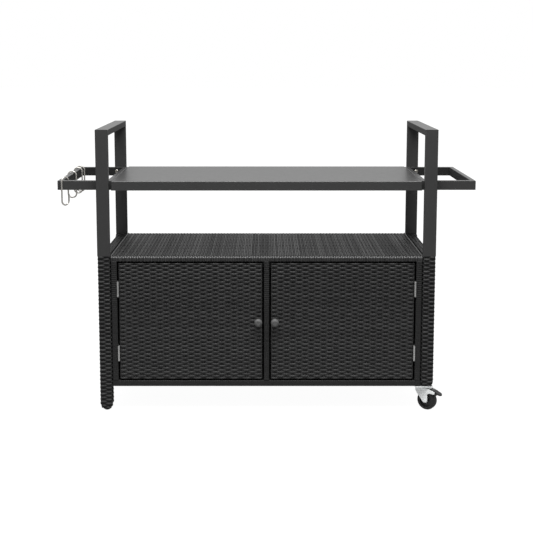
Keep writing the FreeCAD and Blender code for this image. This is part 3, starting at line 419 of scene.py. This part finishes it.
def swept(board, line, section):
    return board.add("GeometryNodeCurveToMesh", {},
                     {"Curve": line, "Profile Curve": section, "Fill Caps": True})


def stored(board, geometry, name, value, domain="POINT"):
    return board.add("GeometryNodeStoreNamedAttribute", {"data_type": "FLOAT", "domain": domain},
                     {"Geometry": geometry, "Name": name, "Value": value})


def random_value(board, low, high, index, seed):
    return board.add("FunctionNodeRandomValue", {"data_type": "FLOAT"},
                     {"Min": low, "Max": high, "ID": index, "Seed": seed}, "Value")


def strand_mesh(board, inputs, line, crest):
    """Strand along a line, with its height and the distances along and round it kept for the finish."""
    raised = stored(board, line, "strand_crest", crest)
    upright = board.add("GeometryNodeSetCurveNormal", {"mode": "Z_UP"}, {"Curve": raised})
    length = board.add("GeometryNodeSplineParameter", {}, {}, "Length")
    marked = stored(board, upright, "strand_run", length)
    section = oval(board, inputs["Sides"], inputs["Strand Thickness"], inputs["Strand Width"])
    round_it = board.add("GeometryNodeSplineParameter", {}, {}, "Factor")
    return swept(board, marked, stored(board, section, "strand_side", round_it))


def rows_of(board, inputs, variants, rows, pitch, scale=None):
    """Stack the strands in rows that take the variants in turn, each with its own tone."""
    index = board.add("GeometryNodeInputIndex", {}, {})
    nudge = random_value(board, -ROW_NUDGE, ROW_NUDGE, index, inputs["Seed"])
    level = board.vector(z=(index + 0.5 + nudge) * pitch)
    spots = board.add("GeometryNodePoints", {}, {"Count": rows, "Position": level})
    choices = [board.add("GeometryNodeGeometryToInstance", {}, {"Geometry": mesh}) for mesh in variants]
    both = board.add("GeometryNodeJoinGeometry", {}, {"Geometry": choices})
    sockets = {"Points": spots, "Instance": both, "Pick Instance": True,
               "Instance Index": index % len(variants)}
    if scale:
        sockets["Scale"] = scale(index)
    stacked = board.add("GeometryNodeInstanceOnPoints", {}, sockets)
    tone = random_value(board, TONE_LOW, TONE_HIGH, index, inputs["Seed"] + TONE_SEED_STEP)
    return stored(board, stacked, "strand_tone", tone, "INSTANCE")


def close_tree(board, inputs, pieces):
    """Make the instances real, unsettle them a little and give them their finish, with the bend material,
    a painted highlight, where the crest value is high on a bend.
    """
    whole = board.add("GeometryNodeJoinGeometry", {}, {"Geometry": pieces})
    real = board.add("GeometryNodeRealizeInstances", {}, {"Geometry": whole})
    place = board.add("GeometryNodeInputPosition", {}, {})
    drift = board.add("ShaderNodeTexNoise", {},
                      {"Vector": place, "Scale": DRIFT_SCALE, "Detail": DRIFT_DETAIL}, "Color")
    centred = board.add("ShaderNodeVectorMath", {"operation": "SUBTRACT"}, {0: drift, 1: NOISE_MIDDLE})
    offset = board.scaled(centred, inputs["Unevenness"])
    settled = board.add("GeometryNodeSetPosition", {}, {"Geometry": real, "Offset": offset})
    smooth = board.add("GeometryNodeSetShadeSmooth", {}, {"Geometry": settled})
    finished = board.add("GeometryNodeSetMaterial", {},
                         {"Geometry": smooth, "Material": inputs["Material"]})
    crest = board.add("GeometryNodeInputNamedAttribute", {"data_type": "FLOAT"}, {"Name": "strand_crest"},
                      "Attribute")
    # Painted highlight: the lighter bend material where the crest value is raised on a bend
    bend_lit = board.add("GeometryNodeSetMaterial", {}, {
        "Geometry": finished, "Selection": crest.to("GREATER_THAN", BEND_HIGHLIGHT_CREST),
        "Material": inputs["Bend Material"]})
    board.add("NodeGroupOutput", {}, {"Geometry": bend_lit})
    return board


def woven_sheet_tree():
    """Flat weave: strands along X pass before and behind upright stakes, and turn in at both ends."""
    board, inputs = new_tree("woven_sheet", {
        "Span": "Float", "Bend": "Float", "Hem": "Float", "Rows": "Int", "Row Pitch": "Float",
        "Stakes": "Int", "Stake Width": "Float", "Samples": "Int", "Lift": "Float", "Bend Highlight": "Float",
        **STRAND_INPUTS,
    })
    span = inputs["Span"]
    bend = inputs["Bend"]
    flat = span / 2.0 - bend
    reach = flat + bend * QUARTER_TURN + inputs["Hem"]
    line = board.add("GeometryNodeCurvePrimitiveLine", {},
                     {"Start": board.vector(0.0 - reach), "End": board.vector(reach)})
    fine = board.add("GeometryNodeResampleCurve", {}, {"Curve": line, "Count": inputs["Samples"]})
    place = board.part_of(board.add("GeometryNodeInputPosition", {}, {}), "X")
    distance = place.to("ABSOLUTE")
    past = distance - flat
    angle = (past / bend).to("MAXIMUM", 0.0).to("MINIMUM", QUARTER_TURN)
    x = place.to("SIGN") * (distance.to("MINIMUM", flat) + bend * angle.to("SINE"))
    turned = bend * (1.0 - angle.to("COSINE")) + (past - bend * QUARTER_TURN).to("MAXIMUM", 0.0)
    pitch = span / inputs["Stakes"]
    wave = ((x + span / 2.0) / pitch * pi).to("SINE") * (1.0 - angle / QUARTER_TURN)
    # This is 1 in the middle of the bend and 0 at both of its ends
    on_bend = angle * (QUARTER_TURN - angle) * (2.0 / QUARTER_TURN) ** 2
    variants = []
    for way in (1.0, -1.0):
        # On the bend the crest value is raised, which paints a highlight there: a lighter colour, and the
        # lighter bend material past the set limit
        crest = 0.5 - way * 0.5 * wave + inputs["Bend Highlight"] * on_bend
        y = turned + way * (inputs["Wave"] * wave + inputs["Lift"])
        bent = board.add("GeometryNodeSetPosition", {}, {"Geometry": fine, "Position": board.vector(x, y)})
        variants.append(strand_mesh(board, inputs, bent, crest))
    woven = rows_of(board, inputs, variants, inputs["Rows"], inputs["Row Pitch"])
    index = board.add("GeometryNodeInputIndex", {}, {})
    feet = board.add("GeometryNodePoints", {}, {
        "Count": inputs["Stakes"], "Position": board.vector((index + 0.5) * pitch - span / 2.0)})
    height = inputs["Rows"] * inputs["Row Pitch"]
    stake = board.add("GeometryNodeCurvePrimitiveLine", {}, {"End": board.vector(z=height)})
    bar = swept(board, stake, oval(board, STAKE_SIDES, inputs["Stake Width"], inputs["Strand Thickness"]))
    stakes = board.add("GeometryNodeInstanceOnPoints", {}, {"Points": feet, "Instance": bar})
    return close_tree(board, inputs, [woven, stakes])


def woven_ring_tree():
    """Rings of strand round a post or bar, stacked along Z. With no wave they are a plain wrapping."""
    board, inputs = new_tree("woven_ring", {
        "Width": "Float", "Depth": "Float", "Corner": "Float", "Rings": "Int", "Ring Pitch": "Float",
        "Half Waves": "Int", "Toe": "Float", "Samples": "Int", **STRAND_INPUTS,
    })
    corner = inputs["Corner"]
    outline = board.add("GeometryNodeCurvePrimitiveQuadrilateral", {},
                        {"Width": inputs["Width"], "Height": inputs["Depth"]})
    rounded = board.add("GeometryNodeFilletCurve", {"mode": "POLY"},
                        {"Curve": outline, "Count": CORNER_STEPS, "Radius": corner})
    fine = board.add("GeometryNodeResampleCurve", {}, {"Curve": rounded, "Count": inputs["Samples"]})
    factor = board.add("GeometryNodeSplineParameter", {}, {}, "Factor")
    girth = 2.0 * (inputs["Width"] + inputs["Depth"]) - (8.0 - 2.0 * pi) * corner
    from_corner = factor - corner * (pi / 4) / girth
    wave = (from_corner * inputs["Half Waves"] * pi).to("SINE")
    tangent = board.add("GeometryNodeInputTangent", {}, {})
    outward = board.add("ShaderNodeVectorMath", {"operation": "CROSS_PRODUCT"}, {0: tangent, 1: UP})
    variants = []
    for way in (1.0, -1.0):
        # The crest value sets the painted shade of the finish: 1 on the outer turns, 0 in the hollows
        crest = 0.5 + way * 0.5 * wave
        offset = board.scaled(outward, way * inputs["Wave"] * wave)
        bent = board.add("GeometryNodeSetPosition", {}, {"Geometry": fine, "Offset": offset})
        variants.append(strand_mesh(board, inputs, bent, crest))

    def drawn_in(index):
        share = 1.0 - inputs["Toe"] * (TOE_RINGS - index).to("MAXIMUM", 0.0)
        return board.vector(share, share, 1.0)

    return close_tree(board, inputs, [
        rows_of(board, inputs, variants, inputs["Rings"], inputs["Ring Pitch"], drawn_in)])


woven_sheet = woven_sheet_tree()
woven_ring = woven_ring_tree()


# Where pieces go

X, Y, Z = range(3)
BEVEL_STEPS = 3


def axes(x, y, origin):
    """Place whose X and Y axes point these ways, with Z square to both."""
    first = Vector(x)
    second = Vector(y)
    third = first.cross(second)
    turned = Matrix((first, second, third)).transposed().to_4x4()
    return Matrix.Translation(origin) @ turned


def keep(piece, body, slot, *nodes):
    """Put a finished piece on its body and hide the solids that it stands for. The slot is not used."""
    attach(piece, body)
    if nodes:
        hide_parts(*nodes)


def rounded_bars(name, boxes, radius, material):
    """Bars with rounded edges, each given by its lowest and highest corner."""
    mesh = bmesh.new()
    for box in boxes:
        low = Vector(box[0])
        high = Vector(box[1])
        cube = bmesh.ops.create_cube(mesh, size=1.0)
        bmesh.ops.scale(mesh, vec=high - low, verts=cube["verts"])
        bmesh.ops.translate(mesh, vec=(low + high) / 2, verts=cube["verts"])
    bmesh.ops.bevel(mesh, geom=mesh.edges[:], offset=radius, segments=BEVEL_STEPS, profile=0.5,
                    affect="EDGES")
    data = bpy.data.meshes.new(name)
    mesh.to_mesh(data)
    mesh.free()
    data.materials.append(material)
    for face in data.polygons:
        face.use_smooth = True
    piece = bpy.data.objects.new(name, data)
    bpy.context.scene.collection.objects.link(piece)
    return piece


# Sheets of painted shade and bars behind the weave

SHADE_SHEET_THICKNESS = 0.8 * MM
SHADE_SHEET_ROUNDING = 0.3 * MM
BAR_ROUNDING = 1.5 * MM
BORDER = 25.0 * MM
SEAM = 4.0 * MM


def window(low, high, across, outer, inward, ends=-BORDER):
    """Thin near-black sheet behind a woven face that paints the shade there. It fills the ring of bars
    there, or reaches past the ring's ends.
    """
    corner = [low.copy(), high.copy()]
    for axis in (X, Y, Z):
        if axis != across:
            reach = ends if axis != Z else -BORDER
            corner[0][axis] -= reach
            corner[1][axis] += reach
    corner[0][across] = min(outer, outer + inward * SHADE_SHEET_THICKNESS)
    corner[1][across] = max(outer, outer + inward * SHADE_SHEET_THICKNESS)
    return corner


# Near-black sheet that stands in for the shade behind a woven face
def shade_sheet(name, body, box):
    sheet = rounded_bars(name, [box], SHADE_SHEET_ROUNDING, materials["core"])
    keep(sheet, body, "wicker")


def ring_of_bars(name, low, high, across):
    """Four tube bars round a panel, across being the axis through its thickness."""
    first, second = [axis for axis in (X, Y, Z) if axis != across]
    boxes = []
    for axis, other in ((first, second), (second, first)):
        for edge in (low, high):
            corner = [low.copy(), high.copy()]
            inner = BORDER if edge is low else -BORDER
            corner[0][axis] = min(edge[axis], edge[axis] + inner)
            corner[1][axis] = max(edge[axis], edge[axis] + inner)
            if axis == second:
                corner[0][other] = low[other] + BORDER
                corner[1][other] = high[other] - BORDER
            boxes.append(corner)
    bars = rounded_bars(name, boxes, BAR_ROUNDING, materials["door_tube"])
    keep(bars, "cart_frame", "door_tube")


# Woven panels

SIDES = {"left": -1, "right": 1}
SEEDS = {"left_door": 11, "right_door": 23, "side": 31, "side_top": 37, "back": 41, "deck": 53,
         "leg": 61, "wrap": 71}
STRAND_THICKNESS = 1.6 * MM
UNEVENNESS = 0.25 * MM
ROW_PITCH = 6.6 * MM
SPARE_SAMPLES = 8
SIDE_SKIN = 5.0 * MM
SIDE_TOP_GAP = 3.0 * MM
GROOVE = 6.0 * MM
DECK_HEM = 13.0 * MM
DECK_SKIN = 2.4 * MM
STRAND = {
    "Strand Width": 6.1 * MM, "Strand Thickness": STRAND_THICKNESS, "Sides": 8,
    "Unevenness": UNEVENNESS, "Material": materials["wicker"],
    "Bend Material": materials["bend_highlight_strand"],
}
PANEL_STRAND = {
    **STRAND, "Wave": 1.65 * MM, "Bend": 2.6 * MM, "Hem": 0.2 * MM, "Lift": 0.0, "Bend Highlight": 0.0,
    "Row Pitch": ROW_PITCH, "Stake Width": 3.0 * MM, "Stake Pitch": 20.0 * MM, "Samples per Stake": 6,
}
TOP_STRAND = {
    "Strand Width": 5.2 * MM, "Row Pitch": 5.6 * MM, "Wave": 0.1 * MM, "Lift": 0.5 * MM, "Bend Highlight": 3.0,
    "Stake Pitch": 55.0 * MM, "Material": materials["top_strand"],
}
BACK_STRAND = {"Sides": 6, "Samples per Stake": 5}


def weave(name, span, height, place, **changes):
    """Woven sheet of this span and height whose outer face lies on the place's XZ plane."""
    values = {**PANEL_STRAND, "Span": span - STRAND_THICKNESS, **changes}
    rows = round(height / values["Row Pitch"])
    values["Rows"] = rows
    values["Row Pitch"] = height / rows
    values["Stakes"] = round(span / values["Stake Pitch"])
    values["Samples"] = values["Stakes"] * values["Samples per Stake"] + SPARE_SAMPLES
    sink = values["Wave"] + values["Lift"] + STRAND_THICKNESS / 2
    return grow(name, woven_sheet, values, place @ Matrix.Translation((0.0, sink, 0.0)))


def door_weave(side):
    low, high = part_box(f"{side}_door_panel")
    middle = Vector(((low.x + high.x) / 2, low.y, low.z))
    place = axes((1, 0, 0), (0, 1, 0), middle)
    piece = weave(f"{side}_door_weave", high.x - low.x, high.z - low.z, place, Seed=SEEDS[f"{side}_door"])
    keep(piece, f"{side}_door", "wicker", f"{side}_door_panel")
    shade_sheet(f"{side}_door_shade_sheet", f"{side}_door", window(low, high, Y, high.y, 1))


def side_weave(side):
    """Woven side over a ring of tube, with strands laid front to back along its top."""
    node = f"{side}_side_panel"
    low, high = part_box(node)
    sign = SIDES[side]
    outer = high.x if side == "right" else low.x
    middle_y = (low.y + high.y) / 2
    place = axes((0, sign, 0), (-sign, 0, 0), (outer, middle_y, low.z))
    piece = weave(f"{side}_side_weave", high.y - low.y, high.z - low.z - SIDE_TOP_GAP, place,
                  Seed=SEEDS["side"])
    keep(piece, "cart_frame", "wicker", node)
    start = low.x + GROOVE if side == "right" else low.x
    top = axes((0, -1, 0), (0, 0, -1), (start, middle_y, high.z))
    strip = weave(f"{side}_side_top", high.y - low.y, high.x - low.x - GROOVE, top,
                  Seed=SEEDS["side_top"], **TOP_STRAND)
    keep(strip, "cart_frame", "wicker")
    if side == "right":
        high.x -= SIDE_SKIN
    else:
        low.x += SIDE_SKIN
    high.z -= SIDE_SKIN
    behind = outer - sign * SIDE_SKIN
    shade_sheet(f"{side}_side_shade_sheet", "cart_frame", window(low, high, X, behind, -sign, SEAM))
    ring_of_bars(f"{side}_side_bars", low, high, X)


def back_weave():
    low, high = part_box("back_panel")
    place = axes((-1, 0, 0), (0, -1, 0), ((low.x + high.x) / 2, high.y, low.z))
    piece = weave("back_weave", high.x - low.x, high.z - low.z, place, Seed=SEEDS["back"], **BACK_STRAND)
    keep(piece, "cart_frame", "wicker", "back_panel")
    high.y -= SIDE_SKIN
    shade_sheet("back_shade_sheet", "cart_frame", window(low, high, Y, high.y, -1, SEAM))
    ring_of_bars("back_bars", low, high, Y)


def deck_weave():
    """Woven top whose strands turn down over the front rail and the back edge."""
    low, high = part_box("cabinet_top")
    rail_low, rail_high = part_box("front_top_rail")
    depth = high.y - rail_low.y
    place = axes((0, -1, 0), (0, 0, -1), (low.x, (high.y + rail_low.y) / 2, high.z))
    piece = weave("deck_weave", depth, high.x - low.x, place, Seed=SEEDS["deck"], Hem=DECK_HEM,
                  **TOP_STRAND)
    keep(piece, "cart_frame", "wicker", "cabinet_top", "front_top_rail")
    sunk = high.z - SIDE_SKIN
    inner = high.y - BORDER
    boxes = [((rail_low.x, rail_low.y + DECK_SKIN, rail_low.z), (rail_high.x, rail_high.y, sunk)),
             ((low.x, inner, low.z), (high.x, high.y - DECK_SKIN, sunk))]
    for x in (low.x, -BORDER / 2, high.x - BORDER):
        boxes.append(((x, rail_high.y, low.z), (x + BORDER, inner, sunk)))
    bars = rounded_bars("deck_bars", boxes, BAR_ROUNDING, materials["core"])
    keep(bars, "cart_frame", "wicker")
    shade_sheet("deck_shade_sheet", "cart_frame", window(low, high, Z, sunk, -1))


# Legs, wrapped bars and beads

LEG_WAVE = 1.5 * MM
LEG_CORE = 2.3 * MM
LEG_CORE_ROUNDING = 0.6 * MM
TOE_CORE = 6.0 * MM
WRAP_INSET = 0.9 * MM
WRAP_PITCH = 6.7 * MM
BEAD = 1.6 * MM
BEAD_SINK = 0.2 * BEAD
BEAD_ROUNDING = 0.95 * BEAD
BEAD_END_GAP = 1.0 * MM
LEG_STRAND = {
    **STRAND, "Strand Width": 5.3 * MM, "Wave": LEG_WAVE, "Half Waves": 8, "Corner": 1.6 * MM,
    "Samples": 80, "Toe": 0.08, "Seed": SEEDS["leg"], "Material": materials["leg_strand"],
}
WRAP_STRAND = {
    **STRAND, "Strand Width": 10.5 * MM, "Strand Thickness": 0.3 * MM, "Unevenness": 0.15 * MM,
    "Wave": 0.0, "Half Waves": 8, "Corner": 2.2 * MM, "Samples": 28, "Sides": 6, "Toe": 0.0,
    "Seed": SEEDS["wrap"], "Material": materials["wrapping"],
}


def leg_weave(end, side):
    """Rings of strand woven round the leg in half waves, over a dark core with a smaller foot."""
    node = f"{end}_{side}_leg"
    low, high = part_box(node)
    inset = 2 * LEG_WAVE + STRAND_THICKNESS + UNEVENNESS
    size = high - low
    rings = round(size.z / ROW_PITCH)
    pitch = size.z / rings
    values = {**LEG_STRAND, "Width": size.x - inset, "Depth": size.y - inset, "Rings": rings,
              "Ring Pitch": pitch}
    foot = Vector(((low.x + high.x) / 2, (low.y + high.y) / 2, low.z))
    piece = grow(f"{node}_weave", woven_ring, values, Matrix.Translation(foot))
    keep(piece, "cart_frame", "wicker", node)
    shrink = Vector((LEG_CORE, LEG_CORE, LEG_CORE_ROUNDING))
    toe = Vector((TOE_CORE, TOE_CORE, LEG_CORE_ROUNDING))
    ankle = low.z + TOE_RINGS * pitch
    boxes = [((low.x + shrink.x, low.y + shrink.y, ankle), high - shrink),
             (low + toe, (high.x - toe.x, high.y - toe.y, ankle))]
    core = rounded_bars(f"{node}_core", boxes, LEG_CORE_ROUNDING, materials["core"])
    keep(core, "cart_frame", "wicker")


def wrapped_bar(node, axis):
    """Face frame bar wrapped edge to edge with flat strand."""
    low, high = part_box(node)
    size = high - low
    middle = (low + high) / 2
    rings = round(size[axis] / WRAP_PITCH)
    if axis == Z:
        place = Matrix.Translation((middle.x, middle.y, low.z))
        width = size.x
        depth = size.y
    else:
        place = axes((0, 1, 0), (0, 0, 1), (low.x, middle.y, middle.z))
        width = size.y
        depth = size.z
    values = {**WRAP_STRAND, "Width": width - WRAP_INSET, "Depth": depth - WRAP_INSET, "Rings": rings,
              "Ring Pitch": size[axis] / rings}
    piece = grow(f"{node}_wrap", woven_ring, values, place)
    keep(piece, "cart_frame", "wicker", node)
    shrink = Vector((WRAP_INSET, WRAP_INSET, WRAP_INSET))
    core = rounded_bars(f"{node}_core", [(low + shrink, high - shrink)], BAR_ROUNDING, materials["core"])
    keep(core, "cart_frame", "wicker")


def deck_bead(side):
    """Round strand along the seam between the top and the side. It catches light as a round strand, and
    its lighter grey adds a painted highlight along the seam.
    """
    low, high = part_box("cabinet_top")
    rail_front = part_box("front_top_rail")[0].y
    x = high.x - BEAD if side == "right" else low.x + BEAD
    z = high.z - BEAD_SINK
    start = (x - BEAD, rail_front + BEAD_END_GAP, z - BEAD)
    end = (x + BEAD, high.y - BEAD_END_GAP, z + BEAD)
    bead = rounded_bars(f"{side}_deck_bead", [(start, end)], BEAD_ROUNDING, materials["bead"])
    keep(bead, "cart_frame", "wicker")


for side in SIDES:
    deck_bead(side)
    door_weave(side)
    side_weave(side)
    leg_weave("front", side)
    leg_weave("back", side)
    wrapped_bar(f"{side}_stile", Z)
back_weave()
deck_weave()
wrapped_bar("centre_mullion", Z)
wrapped_bar("front_bottom_rail", X)


# Floor, light and camera

FRONT_LIGHT = 0.12
BACK_LIGHT = 0.67
HORIZON_LIGHT = 0.25
HORIZON_FADE = 0.22
SIDE_LIGHT = 0.3
SIDE_FOCUS = 6.0
OVERHEAD_LIGHT = 0.8
LAMP_POWER = 120.0
LAMP_SIZE = (2.6, 1.4)
LAMP_PLACE = Vector((0.0, -1.1, 3.0))
LAMP_AIM = Vector((0.0, 0.0, 0.4))
FLOOR_HALF = 30.0
FLOOR_ROUGHNESS = 0.9
BACK_FLOOR = 0.03
FRONT_FLOOR = 0.08
FRONT_PLACE = 0.5
NEAR_FLOOR = 0.40
NEAR_PLACE = -0.35
NEAR_REACH = 0.55
SEEN_FLOOR = 0.06
SEEN_GLOW = 0.965
SENSOR = 36.0
LENS = 70.95
SHIFT_X = 0.0026
SHIFT_Y = -0.145
VIEW_END = 100.0
CAMERA_PLACE = (-0.0047, -3.519, 1.16)
CAMERA_PITCH = 7.43


def camera_only(board, plain, seen):
    """The second shader where the camera looks straight at it, else the first."""
    direct = board.add("ShaderNodeLightPath", {}, {}, "Is Camera Ray")
    return board.add("ShaderNodeMixShader", {}, {0: direct, 1: plain, 2: seen})


def floor_paint(board):
    """White to the camera, and grey with a lighter strip before the object to what it lights."""
    depth = board.part_of(object_place(board), "Y")
    near = (1.0 - (depth - NEAR_PLACE).to("ABSOLUTE") / NEAR_REACH).to("MAXIMUM", 0.0)
    front = (FRONT_PLACE - depth).to("MAXIMUM", 0.0).to("MINIMUM", 1.0)
    level = BACK_FLOOR + FRONT_FLOOR * front + NEAR_FLOOR * near
    dull = principled(board, base_color=between(board, level, grey(0.0), grey(1.0)),
                      roughness=FLOOR_ROUGHNESS)
    white = principled(board, base_color=grey(SEEN_FLOOR), roughness=FLOOR_ROUGHNESS,
                       emission_color=grey(SEEN_GLOW), emission_strength=1.0)
    return camera_only(board, dull, white)


def floor():
    data = bpy.data.meshes.new("floor")
    corners = [(x * FLOOR_HALF, y * FLOOR_HALF, 0.0) for x, y in ((-1, -1), (1, -1), (1, 1), (-1, 1))]
    data.from_pydata(corners, [], [(0, 1, 2, 3)])
    data.materials.append(new_material("floor", floor_paint))
    piece = bpy.data.objects.new("floor", data)
    bpy.context.scene.collection.objects.link(piece)


def studio():
    """Room that is brighter behind and above than in front, and a soft lamp overhead."""
    world = bpy.data.worlds.new("studio")
    world.use_nodes = True
    board = Board(world.node_tree)
    toward = board.add("ShaderNodeTexCoord", {}, {}, "Generated")
    up = board.part_of(toward, "Z").to("MAXIMUM", 0.0)
    behind = board.part_of(toward, "Y") * 0.5 + 0.5
    aside = board.part_of(toward, "X").to("ABSOLUTE").to("POWER", SIDE_FOCUS)
    risen = ramp(HORIZON_LIGHT, 1.0, (up / HORIZON_FADE).to("MINIMUM", 1.0))
    level = FRONT_LIGHT + BACK_LIGHT * behind * risen + OVERHEAD_LIGHT * up * up + SIDE_LIGHT * aside
    room = board.add("ShaderNodeBackground", {}, {"Color": grey(1.0), "Strength": level})
    paper = board.add("ShaderNodeBackground", {}, {"Color": grey(1.0), "Strength": 1.0})
    board.add("ShaderNodeOutputWorld", {}, {"Surface": camera_only(board, room, paper)})
    bpy.context.scene.world = world
    lamp = bpy.data.lights.new("lamp", "AREA")
    lamp.shape = "RECTANGLE"
    lamp.size, lamp.size_y = LAMP_SIZE
    lamp.energy = LAMP_POWER
    holder = bpy.data.objects.new("lamp", lamp)
    holder.location = LAMP_PLACE
    holder.rotation_euler = (LAMP_AIM - LAMP_PLACE).to_track_quat("-Z", "Y").to_euler()
    bpy.context.scene.collection.objects.link(holder)


def camera():
    data = bpy.data.cameras.new("camera")
    data.sensor_width = SENSOR
    data.lens = LENS
    data.shift_x = SHIFT_X
    data.shift_y = SHIFT_Y
    data.clip_end = VIEW_END
    holder = bpy.data.objects.new("camera", data)
    holder.location = CAMERA_PLACE
    holder.rotation_euler = (radians(90.0 - CAMERA_PITCH), 0.0, 0.0)
    bpy.context.scene.collection.objects.link(holder)
    bpy.context.scene.camera = holder


floor()
studio()
camera()
bpy.context.scene.view_settings.view_transform = "Standard"
